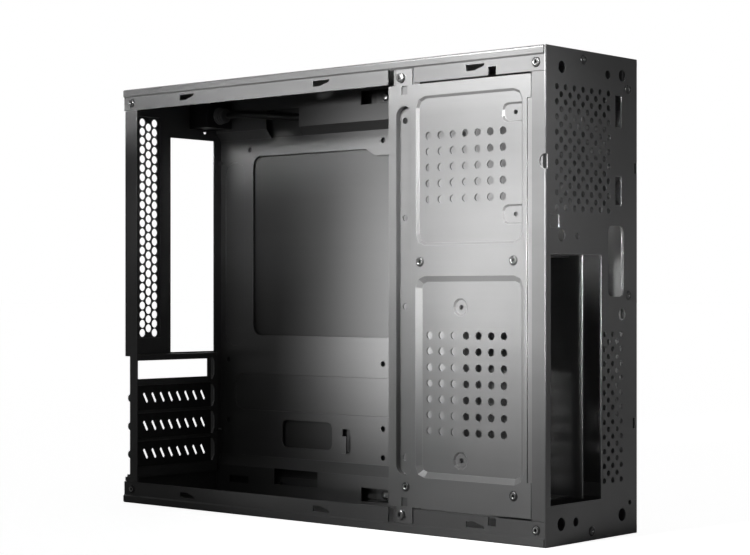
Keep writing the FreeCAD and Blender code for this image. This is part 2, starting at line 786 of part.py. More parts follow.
def make_slot_cover(label, position):
    """A vented slot cover: a strip inside the slot plate with a tab folded out over the shelf."""
    cover = Piece(label)
    centre = f"(card_bottom + {position} * card_pitch)"
    low, high = f"{centre} - cover_tall / 2", f"{centre} + cover_tall / 2"
    face = forward("slot_recess_depth + sheet")
    shelf = inwards_near("shelf_across")
    cover.pad("YZ_Plane", face, f"{face} + cover_plate",
              [rectangle(f"{shelf} - cover_plate", inwards_far("cover_far"), low, high)])
    cover.pad("XZ_Plane", f"{shelf} - cover_plate", shelf,
              [rectangle(forward("sheet"), f"{face} + cover_plate", low, high)])
    cover.pocket("XZ_Plane", f"{shelf} - cover_plate", shelf, [],
                 [(forward("(slot_recess_depth + sheet) / 2"), centre, "screw_shank + screw_play")])
    # slanted vents with pointed ends
    x, tilt = inwards_near("cover_vent_first"), "(cover_vent_tilt * 1 deg)"
    half_long, half_wide, shoulder = "cover_vent_long / 2", "cover_vent_wide / 2", "(cover_vent_long / 2 - 0.7)"
    corners = [("0", half_long), (half_wide, shoulder), (half_wide, f"-{shoulder}"),
               ("0", f"-{half_long}"), (f"-{half_wide}", f"-{shoulder}"), (f"-{half_wide}", shoulder)]
    slanted = [(f"{x} + ({across}) * cos({tilt}) - ({along}) * sin({tilt})",
                f"{centre} + ({across}) * sin({tilt}) + ({along}) * cos({tilt})") for across, along in corners]
    vent = cover.pocket("YZ_Plane", face, f"{face} + cover_plate", [slanted])
    cover.repeat(vent, ("H_Axis", "cover_vent_pitch", "cover_vent_count", False))
    return cover


def make_front_panel():
    panel = Piece("front_panel")
    inner, outer = backward("sheet"), FRONT
    panel.pad("YZ_Plane", inner, outer,
              [rectangle(inwards_near("sheet"), inwards_far("sheet"), bottom("0"), top("0"))])
    ears_and_flanges(panel, backward, "0", "front_flange", "corner_rivet_front")
    panel.round("sheet - 0.1", 2, [(FRONT, inwards_near("sheet")), (FRONT, inwards_far("sheet"))])
    # bay, cable slot, button holes and pilot holes
    bay = rectangle(inwards_near("bay_across"), inwards_near("bay_across + bay_wide"),
                    "bay_bottom", "bay_bottom + bay_tall")
    square = rectangle(inwards_near("square_near"), inwards_near("square_near + square_wide"),
                       top("square_top + square_tall"), top("square_top"))
    cable_slot = cut_rectangle(inwards_far("cable_slot_far + cable_slot_wide"), inwards_far("cable_slot_far"),
                               "cable_slot_bottom", "(cable_slot_bottom + cable_slot_tall)", "(cable_slot_wide / 5)")
    strap_low, strap_high = inwards_far("strap_far + strap_wide"), inwards_far("strap_far")
    strap_slot = rectangle(strap_low, strap_high, top("strap_upper + strap_tall"), top("strap_upper"))
    bridge_low, bridge_high = top("bridge_top + bridge_tall"), top("bridge_top")
    bridge_slot = rectangle(strap_low, strap_high, bridge_low, bridge_high)
    edge_notch = rectangle(inwards_far("edge_notch_far + edge_notch_wide"), inwards_far("edge_notch_far"),
                           top("edge_notch_top + edge_notch_tall"), top("edge_notch_top"))
    edge_slot = rectangle(inwards_far("edge_slot_far + edge_slot_wide"), inwards_far("edge_slot_far"),
                          "edge_slot_bottom", "edge_slot_bottom + edge_slot_tall")
    holes = [
        (inwards_near("near_button_near"), top("near_button_top"), "button_hole", MANY_SIDES),
        (inwards_near("pilot_near"), top("pilot_top"), "pilot_hole", MANY_SIDES),
        (inwards_near("far_button_near"), top("far_button_top"), "button_hole", MANY_SIDES),
        (inwards_near("middle_button_near"), top("middle_row_top"), "button_hole", MANY_SIDES),
        (inwards_near("middle_hole_near"), top("middle_row_top"), "vent_hole"),
        (inwards_far("marker_far"), top("marker_top"), "marker_hole"),
        (inwards_far("cable_button_far"), "cable_button_bottom", "button_hole", MANY_SIDES),
        (inwards_near("low_near_near"), "low_row_bottom", "low_hole", MANY_SIDES),
        (inwards_near("low_pilot_near"), "low_row_bottom", "pilot_hole", MANY_SIDES),
        (inwards_far("low_far_far"), "low_row_bottom", "low_hole", MANY_SIDES),
        (inwards_far("foot_hole_far"), "foot_hole_bottom", "rivet_shank"),
        (inwards_near("joint_top_across"), top("joint_drop"), "rivet_shank"),
        (inwards_near("joint_bottom_across"), bottom("joint_drop"), "rivet_shank"),
        (inwards_far("tray_rivet_far"), "tray_rivet_high", "rivet_shank"),
        (inwards_far("tray_rivet_far"), "tray_rivet_low", "rivet_shank"),
    ]
    panel.pocket("YZ_Plane", inner, outer,
                 [bay, square, cable_slot, strap_slot, bridge_slot, edge_notch, edge_slot], holes)
    # a lanced bridge stands behind the lower strap slot
    slant = "sheet * tan(22.5 deg)"
    panel.pad("XZ_Plane", strap_low, strap_high,
              [[(outer, bridge_low), (f"{outer} - bridge_depth", f"{bridge_low} + bridge_depth"),
                (f"{outer} - bridge_depth", f"{bridge_high} - bridge_depth"), (outer, bridge_high),
                (inner, f"{bridge_high} + {slant}"),
                (f"{inner} - bridge_depth", f"{bridge_high} - bridge_depth + {slant}"),
                (f"{inner} - bridge_depth", f"{bridge_low} + bridge_depth - {slant}"),
                (inner, f"{bridge_low} - {slant}")]])
    panel.pocket("XZ_Plane", NEAR, inwards_near("3 * sheet"), [],
                 [(FRONT, top("bend_hole_top"), "bend_hole", MANY_SIDES)])
    # a staggered vent field at the top and staggered intake columns beside the bay
    vent = even_sided(inwards_near("vent_across"), top("vent_top"), "vent_hole", 6, 30)
    vent_between = even_sided(inwards_near("vent_across + vent_pitch / 2"), top("vent_top + vent_row / 2"),
                              "vent_hole", 6, 30)
    intake = even_sided(inwards_far("intake_far"), "intake_bottom", "intake_hole", 6, 30)
    intake_between = even_sided(inwards_far("intake_far - intake_column"), "intake_bottom + intake_row / 2",
                                "intake_hole", 6, 30)
    return panel.perforate(
        "front_panel",
        hole_field("YZ_Plane", inner, outer, vent, ("vent_pitch", "-vent_row"), ("vent_columns", "vent_rows")),
        hole_field("YZ_Plane", inner, outer, vent_between, ("vent_pitch", "-vent_row"),
                   ("vent_columns - 1", "vent_rows - 1")),
        hole_field("YZ_Plane", inner, outer, intake, ("2 * intake_column", "intake_row"), (3, "intake_rows")),
        hole_field("YZ_Plane", inner, outer, intake_between, ("2 * intake_column", "intake_row"),
                   (2, "intake_rows - 1")),
    )


def make_tray():
    """The board tray: one sheet whose section steps away from the open side between an upper and a lower strip."""
    tray = Piece("motherboard_tray")
    near = inwards_near("tray_near")
    strip = f"({near} - tray_step)"
    high, low = top("tray_top"), "tray_bottom"
    high_step = f"({high} + tray_top_slope)"
    low_step = f"({low} - tray_bottom_slope)"
    high_lift = "sheet * tan(atan(tray_step / tray_top_slope) / 2)"
    low_lift = "sheet * tan(atan(tray_step / tray_bottom_slope) / 2)"
    section = [
        (strip, top("sheet")), (strip, high_step), (near, high), (near, low), (strip, low_step),
        (strip, "sheet"), (f"{strip} + sheet", "sheet"), (f"{strip} + sheet", f"{low_step} - {low_lift}"),
        (f"{near} + sheet", f"{low} - {low_lift}"), (f"{near} + sheet", f"{high} + {high_lift}"),
        (f"{strip} + sheet", f"{high_step} + {high_lift}"), (f"{strip} + sheet", top("sheet")),
    ]
    tray.pad("YZ_Plane", forward("2 * sheet"), backward("2 * sheet"), [section])
    # shallow pressed fields
    for x, z, length, height in (
        (forward("post_emboss_rear"), "post_emboss_bottom", "post_emboss_wide", "post_emboss_tall"),
        (forward("band_emboss_rear"), "band_emboss_bottom", "band_emboss_long", "band_emboss_tall"),
    ):
        field = cut_rectangle(x, f"{x} + {length}", z, f"{z} + {height}", "window_corner")
        grown = cut_rectangle(f"{x} - sheet", f"{x} + {length} + sheet", f"{z} - sheet", f"{z} + {height} + sheet",
                              "(window_corner + sheet)")
        tray.pad("XZ_Plane", f"{near} + sheet", f"{near} + sheet + emboss_depth", [grown])
        tray.pocket("XZ_Plane", near, f"{near} + emboss_depth", [field])
    # cut-out behind the processor, cable window and lanced hook
    window_x, window_z = forward("window_rear"), "window_bottom"
    window_top = "window_bottom + window_tall"
    slope_x = forward("window_slope_rear")
    window = [
        (window_x, window_z), (f"{window_x} + window_long", window_z),
        (f"{window_x} + window_long", f"{window_top} - window_slope_fall"),
        (f"{slope_x} + window_slope_long", f"{window_top} - window_slope_fall"), (slope_x, window_top),
        (window_x, window_top),
    ]
    cable_x = forward("cable_window_rear")
    cable = cut_rectangle(cable_x, f"{cable_x} + cable_window_long", "cable_window_bottom",
                          "(cable_window_bottom + cable_window_tall)", "(window_corner / 2)")
    lance = rectangle(forward("lance_rear"), forward("lance_rear + lance_wide"), "lance_bottom",
                      "lance_bottom + lance_tall")
    back = f"{near} + 2 * sheet"
    tray.pocket("XZ_Plane", near, back, [window, cable, lance])
    tray.round("window_corner", 1, [window[0], window[1], window[2], window[5]])
    hook_low, hook_high = forward("lance_rear + sheet"), forward("lance_rear + lance_wide - sheet")
    tray.pad("XZ_Plane", f"{near} - 3 * sheet", near,
             [rectangle(hook_low, hook_high, "lance_bottom - sheet", "lance_bottom")])
    tray.pad("XZ_Plane", f"{near} - 3 * sheet", f"{near} - 2 * sheet",
             [rectangle(hook_low, hook_high, "lance_bottom - sheet", "lance_bottom + lance_tall * 0.7")])
    # windows in the strips
    lead_x, foot_x = forward("lead_window_rear"), forward("foot_window_rear")
    strip_x = forward("strip_slot_rear")
    lead_window = rectangle(lead_x, f"{lead_x} + lead_window_long", high, top("lead_window_top"))
    foot_window = rectangle(foot_x, f"{foot_x} + foot_window_long", "foot_window_bottom", low_step)
    strip_slot = rectangle(strip_x, f"{strip_x} + strip_slot_long", "strip_slot_bottom",
                           "strip_slot_bottom + strip_slot_tall")
    tab_x = forward("tab_window_rear")
    tab_end = f"{tab_x} + tab_window_long"
    tab_windows = [rectangle(tab_x, tab_end, level("tab_window_drop"), level("tab_window_drop + tab_window_tall"))
                   for level in (top, bottom)]
    tray.pocket("XZ_Plane", strip, back, [lead_window, foot_window, strip_slot] + tab_windows)
    for level in (top, bottom):
        low_edge, high_edge = level("tab_window_drop + sheet"), level("tab_window_drop + tab_window_tall - sheet")
        tray.pad("XZ_Plane", strip, inwards_far("2 * sheet"), [rectangle(f"{tab_end} - sheet", tab_end,
                                                                           low_edge, high_edge)])
        tray.pad("XZ_Plane", inwards_far("3 * sheet"), inwards_far("2 * sheet"),
                 [rectangle(f"{tab_end} - tab_length", tab_end, low_edge, high_edge)])
        tray.pocket("XZ_Plane", inwards_far("3 * sheet"), inwards_far("2 * sheet"), [],
                    [(f"{tab_end} - tab_length / 2", level("tab_window_drop + tab_window_tall / 2"),
                      "rivet_shank")])
    # board holes
    first_row, second_row = forward("board_rear"), forward("board_rear + board_long")
    third_row = forward("board_rear + board_long + board_mid")
    upper = "board_bottom + board_tall"
    topmost = "board_bottom + board_tall + board_high"
    lowest = "board_bottom - board_low"
    places = [(forward("board_rear + board_offset"), topmost), (first_row, upper), (first_row, "board_bottom")]
    places += [(row_x, height) for row_x in (second_row, third_row)
               for height in (topmost, upper, "board_bottom", lowest)]
    tray.pocket("XZ_Plane", near, back, [], [(x, z, "board_hole", ROUND) for x, z in places])
    # flange behind the front panel
    tray.pad("YZ_Plane", backward("2 * sheet"), backward("sheet"),
             [rectangle(f"{near} + sheet - tray_flange", f"{near} + sheet", "tray_flange_bottom",
                        "tray_flange_bottom + tray_flange_tall")])
    tray.pocket("YZ_Plane", backward("2 * sheet"), backward("sheet"), [],
                [(inwards_far("tray_rivet_far"), height, "rivet_shank")
                 for height in ("tray_rivet_high", "tray_rivet_low")])
    return tray


def make_side_cover():
    """The far side's flat cover: hooks in the channels' slots and a fold over the rear panel for two screws."""
    cover = Piece("side_cover")
    low, high = bottom("edge_strip + sheet + seam"), top("edge_strip + sheet + seam")
    cover.pad("XZ_Plane", inwards_far("sheet"), FAR, [rectangle(REAR, backward("2 * sheet"), low, high)])
    cover.pad("YZ_Plane", REAR, forward("sheet"),
              [rectangle(inwards_far("side_fold"), FAR, bottom("flange_height + seam"), top("flange_height + seam"))])
    cover.round("bend_radius", 2, [(REAR, FAR)])
    cover.pocket("YZ_Plane", REAR, forward("sheet"), [],
                 [(inwards_far("side_screw_far"), height, "screw_shank + screw_play")
                  for height in ("side_screw_high", "side_screw_low")])
    for level in (top, bottom):
        leg = cover.pad("XZ_Plane", inwards_far("sheet"), inwards_far("2 * sheet + side_hook_deep"),
                        [rectangle(forward("slot_rear + seam"), forward("slot_rear + seam + side_hook_length"),
                                   level("slot_drop + seam"), level("slot_drop + seam + sheet"))])
        cover.repeat(leg, ("H_Axis", "slot_pitch", 3, False))
        lip = cover.pad("XZ_Plane", inwards_far("2 * sheet + side_hook_deep - sheet"),
                        inwards_far("2 * sheet + side_hook_deep"),
                        [rectangle(forward("slot_rear + seam"), forward("slot_rear + seam + side_hook_length"),
                                   level("slot_drop + seam"), level("slot_drop + slot_tall"))])
        cover.repeat(lip, ("H_Axis", "slot_pitch", 3, False))
    return cover


def make_drive_plate():
    """The plate on the open side: two perforated pressed panels, a deep rib and a lip behind the front flange."""
    plate = Piece("drive_plate")
    outer, inner = inwards_near("sheet"), inwards_near("2 * sheet")
    rear, front = backward("plate_front + plate_long"), backward("plate_front")
    edge = {bottom: "flange_height + plate_gap", top: "flange_height + plate_gap"}
    tab_rear, tab_front = f"{rear} + plate_tab_rear", f"{rear} + plate_tab_rear + plate_tab_wide"
    tab_end = "seat_notch_drop + seam"
    low, high = bottom(edge[bottom]), top(edge[top])
    shape = [
        (rear, low), (tab_rear, low), (tab_rear, bottom(tab_end)), (tab_front, bottom(tab_end)), (tab_front, low),
        (front, low), (front, high), (tab_front, high), (tab_front, top(tab_end)), (tab_rear, top(tab_end)),
        (tab_rear, high), (rear, high),
    ]
    plate.pad("XZ_Plane", inner, outer, [shape])
    # lip one sheet further in, behind the front panel's flange
    lip_low, lip_high = top("plate_lip_drop + plate_lip_tall"), top("plate_lip_drop")
    plate.pad("XZ_Plane", inner, f"{inner} + sheet",
              [rectangle(f"{front} - 4 * sheet", f"{front} + plate_lip_deep", lip_low, lip_high)])
    plate.pocket("XZ_Plane", outer, inner,
                 [rectangle(f"{front} - 3 * sheet", f"{front} + sheet", f"{lip_low} + sheet", f"{lip_high} - sheet")])
    # deep rib with round ends
    rib_x = f"{rear} + rib_rear + rib_wide / 2"
    rib_low, rib_high = "rib_bottom + rib_wide / 2", "rib_bottom + rib_tall - rib_wide / 2"
    plate.pad("XZ_Plane", inner, f"{inner} + rib_depth",
              slots=[((rib_x, rib_low), (rib_x, rib_high), "rib_wide + 2 * sheet")])
    plate.pocket("XZ_Plane", outer, f"{outer} + rib_depth",
                 slots=[((rib_x, rib_low), (rib_x, rib_high), "rib_wide")])
    # the two pressed panels
    def field(x, z, length, height, corner):
        return lambda grown: cut_rectangle(f"{x} - {grown}", f"{x} + {length} + {grown}", f"{z} - {grown}",
                                           f"{z} + {height} + {grown}", f"({corner} + {grown})")

    plate.press(field(f"{rear} + upper_rear", "upper_bottom", "upper_long", "upper_tall", "press_corner"),
                outer, "upper_depth", "upper_slope")
    plate.press(field(f"{rear} + lower_rear", "lower_bottom", "lower_long", "lower_tall", "press_corner"),
                outer, "lower_depth", "lower_slope")
    # two long recesses with a hole in the upper panel, and two round ones in the lower panel
    recess_x = f"{front} - recess_front"
    upper_floor = f"({outer} + upper_depth)"
    for height in ("recess_upper", "recess_lower"):
        plate.press(field(recess_x, height, "recess_long", "recess_tall", "recess_corner"),
                    upper_floor, "recess_depth", "upper_slope")
    dimple_x, lower_floor = f"({front} - dimple_front)", f"({outer} + lower_depth)"
    for height in ("dimple_high", "dimple_low"):
        plate.press(lambda grown: even_sided(dimple_x, height, f"dimple + 2 * {grown}", MANY_SIDES),
                    lower_floor, "dimple_depth", "upper_slope")
    # perforations
    hole_x = f"{rear} + plate_hole_rear"
    depth = f"{inner} + rib_depth + dimple_depth"
    fields = [hole_field("XZ_Plane", outer, depth, even_sided(hole_x, height, "plate_hole", 6),
                         ("plate_pitch_long", "plate_pitch_tall"), ("plate_columns", rows))
              for height, rows in (("upper_hole_bottom", "upper_rows"), ("lower_hole_bottom", "lower_rows"))]
    rib_hole_x = f"{rear} + rib_rear + rib_wide / 2 - 2 * sheet"
    floor_holes = [(rib_hole_x, height, "rib_hole")
                 for height in ("rib_hole_top", "rib_hole_upper", "rib_hole_lower", "rib_hole_bottom")]
    floor_holes += [(f"{recess_x} + recess_long / 2", f"{height} + recess_tall / 2", "recess_hole")
                  for height in ("recess_upper", "recess_lower")]
    floor_holes += [(dimple_x, height, "dimple_mark") for height in ("dimple_high", "dimple_low")]
    screw_holes = [(f"{rear} + plate_screw_place", level("plate_screw_drop"), "screw_shank + screw_play")
                   for level in (top, bottom)]
    rivet_holes = [(x, z, "rivet_shank") for x, z in cage_rivet_places()]
    window_x = f"{rear} + plate_screw_place"
    windows = [rectangle(window_x, f"{window_x} + plate_window_wide", level(f"{edge[level]} + plate_window_tall"),
                         level(f"{edge[level]} + seam")) for level in (top, bottom)]
    plate.pocket("XZ_Plane", outer, depth, windows, floor_holes + screw_holes + rivet_holes)
    return plate.perforate("drive_plate", *fields)


def cage_rivet_places():
    """The four rivets that hold the cage to the drive plate, just clear of the lower pressed panel."""
    high, low = "cage_bottom + cage_tall - cage_rivet_drop", "cage_bottom + cage_rivet_drop + cage_low_lift"
    return [(backward("cage_rivet_rear"), high), (backward("cage_rivet_front"), high),
            (backward("cage_rivet_low_rear"), low), (backward("cage_rivet_front"), low)]


def make_drive_cage():
    """A folded cage behind the plate: far wall, top and bottom walls, and flanges riveted to the plate."""
    cage = Piece("drive_cage")
    plate_rear = backward("plate_front + plate_long")
    rear, front = f"({plate_rear} + cage_rear)", backward("cage_front")
    near = inwards_near("2 * sheet")
    far = inwards_near("cage_across + sheet")
    low, high = "cage_bottom", "cage_bottom + cage_tall"
    section = [
        (near, high), (far, high), (far, low), (near, low), (near, f"{low} + cage_flange"),
        (f"{near} + sheet", f"{low} + cage_flange"), (f"{near} + sheet", f"{low} + sheet"),
        (f"{far} - sheet", f"{low} + sheet"), (f"{far} - sheet", f"{high} - sheet"),
        (f"{near} + sheet", f"{high} - sheet"), (f"{near} + sheet", f"{high} - cage_flange"),
        (near, f"{high} - cage_flange"),
    ]
    cage.pad("YZ_Plane", rear, f"{front} - front_flange", [section])
    # the bottom wall runs on to the rear rivet, and the far wall forward to the bay
    cage.pad("YZ_Plane", f"{plate_rear} + cage_run_on", rear,
             [[(near, low), (near, f"{low} + cage_flange"), (f"{near} + sheet", f"{low} + cage_flange"),
               (f"{near} + sheet", f"{low} + sheet"), (far, f"{low} + sheet"), (far, low)]])
    cage.pad("YZ_Plane", f"{front} - front_flange", front,
             [rectangle(f"{far} - sheet", far, low, high)])
    holes = cage.pocket("XZ_Plane", f"{far} - sheet", far, [],
                        [(backward("cage_hole_front"), "cage_hole_bottom", "cage_hole", MANY_SIDES)])
    cage.repeat(holes, ("V_Axis", "cage_hole_pitch", 3, False))
    cage.pocket("XZ_Plane", f"{far} - sheet", far, [],
                [(backward("cage_small_front"), height, "cage_small_hole")
                 for height in ("cage_small_high", "cage_small_low")])
    cage.pocket("XZ_Plane", near, f"{near} + sheet", [],
                [(x, z, "rivet_shank") for x, z in cage_rivet_places()])
    return cage


def make_inlet():
    """The inlet socket: a rim on the rear panel's outer face, a deep body inside and a floor for the blades."""
    inlet = Piece("power_inlet")
    low_y, high_y = inwards_far("inlet_far + inlet_wide - seam"), inwards_far("inlet_far + seam")
    low_z, high_z = top("inlet_top + inlet_tall - seam"), top("inlet_top + seam")
    inner_end = forward("2 * sheet + inlet_deep")
    inlet.pad("YZ_Plane", REAR, forward("sheet"),
              [rectangle(f"{low_y} - inlet_rim", f"{high_y} + inlet_rim / 2", f"{low_z} - inlet_rim",
                         f"{high_z} + inlet_rim")])
    inlet.pad("YZ_Plane", forward("sheet"), inner_end, [rectangle(low_y, high_y, low_z, high_z)])
    y_in, y_out = f"{low_y} + inlet_wall", f"{high_y} - inlet_wall"
    z_in, z_out = f"{low_z} + inlet_wall", f"{high_z} - inlet_wall"
    inlet.pocket("YZ_Plane", REAR, f"{inner_end} - inlet_floor",
                 [[(y_in, z_in), (y_out, z_in), (y_out, f"{z_out} - inlet_corner"),
                   (f"{y_out} - inlet_corner", z_out), (f"{y_in} + inlet_corner", z_out),
                   (y_in, f"{z_out} - inlet_corner")]])
    return inlet


def block(label, x_low, x_high, y_low, y_high, z_low, z_high):
    """A plain box between six places."""
    box = doc.addObject("Part::Box", label)
    for size, low, high in (("Length", x_low, x_high), ("Width", y_low, y_high), ("Height", z_low, z_high)):
        box.setExpression(size, bound(f"({high}) - ({low})"))
    for axis, low in (("x", x_low), ("y", y_low), ("z", z_low)):
        box.setExpression(f"Placement.Base.{axis}", bound(low))
    return box


def few_sided(label, *stages):
    """A template along +X that is pieced from short prisms: (kind, start, end, across its corners, sides, taper)."""
    template = Piece(label)
    for kind, start, end, across, sides, taper in stages:
        flats = f"({across}) * cos({180 / sides} deg)"
        template.grow(kind, "YZ_Plane", start, end, taper, [], [("0", "0", flats, sides)], [])
    return template.body


def copies(label, template, places):
    """One named group of separate solids: the template at each ((x, y, z), degrees about the vertical)."""
    links = []
    for index, (place, heading) in enumerate(places, start=1):
        link = doc.addObject("App::Link", f"{label}_{index}")
        link.LinkedObject = template
        turn = FreeCAD.Rotation(FreeCAD.Vector(0, 0, 1), heading)
        link.Placement = FreeCAD.Placement(FreeCAD.Vector(*(number(text) for text in place)), turn)
        for axis, text in zip("xyz", place):
            link.setExpression(f"Placement.Base.{axis}", bound(text))
        links.append(link)
    return group(label, links)


def group(label, pieces):
    """Several like pieces kept as separate solids."""
    compound = doc.addObject("Part::Compound", label)
    compound.Links = pieces
    compound.Label = label
    return compound


def make_fasteners():
    """Every rivet and screw, one named group for each kind. A template's zero is on the face under its head."""
    grip = "-2 * sheet"
    blind = few_sided(
        "blind_rivet",
        ("Pad", f"{grip} - rivet_tail", grip, "rivet_bulb", 6, None),
        ("Pad", grip, "0", "rivet_shank", 6, None),
        ("Pad", "0", "rivet_rise", "rivet_head", 8, "-45"),
        ("Pocket", "rivet_rise", "rivet_rise / 4", "rivet_shank / 2", 6, None),
    )
    flush = few_sided(
        "flush_rivet",
        ("Pad", f"{grip} - rivet_rise", grip, "rivet_head", 8, None),
        ("Pad", grip, "0", "rivet_shank", 6, None),
    )
    pan_head = few_sided(
        "pan_screw",
        ("Pad", "-screw_length", "0", "screw_shank", 6, None),
        ("Pad", "0", "screw_rise / 2", "screw_head", 8, None),
        ("Pad", "screw_rise / 2", "screw_rise", "screw_head", 8, "-30"),
    )
    corners = [(x, level("corner_rivet_drop")) for x in (forward("corner_rivet_rear"), backward("corner_rivet_front"))
               for level in (top, bottom)]
    near_corners = copies("corner_rivets", blind, [((x, inwards_near("sheet"), z), -90) for x, z in corners])
    far_corners = copies("far_corner_rivets", flush, [((x, inwards_far("sheet"), z), 90) for x, z in corners])
    cage = copies("cage_rivets", blind, [((x, inwards_near("sheet"), z), -90) for x, z in cage_rivet_places()])
    front = copies("front_rivets", blind, [
        ((FRONT, inwards_near("joint_top_across"), top("joint_drop")), 0),
        ((FRONT, inwards_near("joint_bottom_across"), bottom("joint_drop")), 0),
        ((FRONT, inwards_far("tray_rivet_far"), "tray_rivet_high"), 0),
        ((FRONT, inwards_far("tray_rivet_far"), "tray_rivet_low"), 0),
    ])
    tab_x = forward("tab_window_rear + tab_window_long - tab_length / 2")
    tray = copies("tray_rivets", flush,
                  [((tab_x, inwards_far("sheet"), level("tab_window_drop + tab_window_tall / 2")), 90)
                   for level in (top, bottom)])
    plate_x = backward("plate_front + plate_long - plate_screw_place")
    plate = copies("plate_screws", pan_head,
                   [((plate_x, inwards_near("sheet"), level("plate_screw_drop")), -90) for level in (top, bottom)])
    slot_x, slot_y = forward("(slot_recess_depth + sheet) / 2"), inwards_near("shelf_across - cover_plate")
    slot = copies("slot_screws", pan_head,
                  [((slot_x, slot_y, f"card_bottom + {index} * card_pitch"), -90) for index in range(3)])
    side = copies("cover_screws", pan_head, [((REAR, inwards_far("side_screw_far"), height), 180)
                                             for height in ("side_screw_high", "side_screw_low")])
    return [near_corners, far_corners, cage, front, tray, plate, slot, side]


def make_blades():
    """The inlet's three contact blades."""
    centre_y = inwards_far("inlet_far + inlet_wide / 2")
    centre_z = top("inlet_top + inlet_tall / 2")
    tip, root = forward("2 * sheet"), forward("2 * sheet + inlet_deep - inlet_floor")
    blades = []
    for name, across, rise in (("left", "-blade_spread", "-blade_rise"), ("middle", "0", "blade_rise"),
                               ("right", "blade_spread", "-blade_rise")):
        y, z = f"{centre_y} + {across}", f"{centre_z} + {rise}"
        blades.append(block(f"blade_{name}", tip, root, f"{y} - blade_thick / 2", f"{y} + blade_thick / 2",
                            f"{z} - blade_wide / 2", f"{z} + blade_wide / 2"))
    return group("inlet_blades", blades)


def make_boot():
    """The ridged sleeve where the lead leaves the inlet."""
    boot = Piece("inlet_boot")
    start = forward("2 * sheet + inlet_deep")
    centre = (inwards_near("boot_across"), top("boot_top"))
    boot.pad("YZ_Plane", start, f"{start} + boot_length", [], [(*centre, "boot_width - 2 * boot_groove", MANY_SIDES)])
    ridge = boot.pad("YZ_Plane", start, f"{start} + boot_length / 5", [], [(*centre, "boot_width", MANY_SIDES)])
    boot.repeat(ridge, ("N_Axis", "boot_length * 2 / 5", 3, False))
    return boot


def make_lead():
    """The lead from the boot through the tray's upper window into the way behind the tray: straight runs joined by
    tangent arcs."""
    start = forward("2 * sheet + inlet_deep + boot_length")
    boot_y, boot_z = inwards_near("boot_across"), top("boot_top")
    lead_y, lead_z = inwards_far("lead_far"), top("lead_top")
    corners = [
        (start, boot_y, boot_z), (f"{start} + lead_first", boot_y, boot_z),
        (f"{start} + lead_second", lead_y, lead_z), (f"{start} + lead_third", lead_y, lead_z),
    ]
    points = [FreeCAD.Vector(*(number(text) for text in corner)) for corner in corners]
    radius = number("lead_radius")
    edges = []
    reached = points[0]
    for before, corner, after in zip(points, points[1:], points[2:]):
        first, second = (corner - before).normalize(), (after - corner).normalize()
        turn = first.getAngle(second)
        cut = radius * math.tan(turn / 2)
        middle = corner + (second - first).normalize() * (radius / math.cos(turn / 2) - radius)
        edges.append(Part.LineSegment(reached, corner - first * cut).toShape())
        edges.append(Part.Arc(corner - first * cut, middle, corner + second * cut).toShape())
        reached = corner + second * cut
        print(f"lead radius {radius:.1f}, turn {math.degrees(turn):.1f} degrees")
    edges.append(Part.LineSegment(reached, points[-1]).toShape())
    path = Part.Wire(edges)
    reach = number("lead_width") / 2
    turns = [2 * math.pi * step / MANY_SIDES for step in range(MANY_SIDES + 1)]
    ring = Part.makePolygon([points[0] + FreeCAD.Vector(0, math.cos(turn), math.sin(turn)) * reach for turn in turns])
    lead = doc.addObject("Part::Feature", "power_lead")
    lead.Shape = path.makePipeShell([ring], True, False)
    lead.Label = "power_lead"
    print(f"lead length {path.Length:.1f}, volume {lead.Shape.Volume:.0f}")
    return lead


nodes = [piece.body for piece in (
    edge_channel("top_panel", top, "joint_top_across"),
    edge_channel("bottom_panel", bottom, "joint_bottom_across"),
    make_tray(),
    make_side_cover(),
    make_drive_cage(),
    make_slot_cover("slot_cover_lower", 0),
    make_slot_cover("slot_cover_middle", 1),
    make_slot_cover("slot_cover_upper", 2),
    make_inlet(),
    make_boot(),
)]
nodes += [make_rear_panel(), make_front_panel(), make_drive_plate()]
nodes += make_fasteners()
nodes += [make_blades(), make_lead()]
doc.recompute()

for item in doc.Objects:
    if {"Invalid", "Error"} & set(item.State):
        raise RuntimeError(f"{item.Label} failed: {item.State}")
for node in nodes:
    if node.Shape.isNull() or not node.Shape.isValid():
        raise RuntimeError(f"{node.Label} has no valid shape")

os.makedirs("parts", exist_ok=True)
for node in nodes:
    node.Shape.exportStep(f"parts/{node.Label}.step")
    solids = node.Shape.Solids
    print(f"{node.Label}: {len(solids)} solids, {node.Shape.Volume:.0f} mm3")
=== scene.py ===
# %% [markdown]
# # A slim computer case with its side open
# A slim computer case is a box of thin folded steel. One side cover is off here, so we look at
# the board tray, the vented rear panel and a perforated plate that covers the drive cage. All
# this could be drawn once more in Blender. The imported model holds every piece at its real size,
# though, so this lesson only adds what a model for machining leaves out: rolled edges, the coat
# on the steel, turned rivets and screws, a round lead, and the light of a small studio.

# %% Load the frame
import math

import bmesh
import bpy
from mathutils import Matrix, Vector
from mathutils.kdtree import KDTree


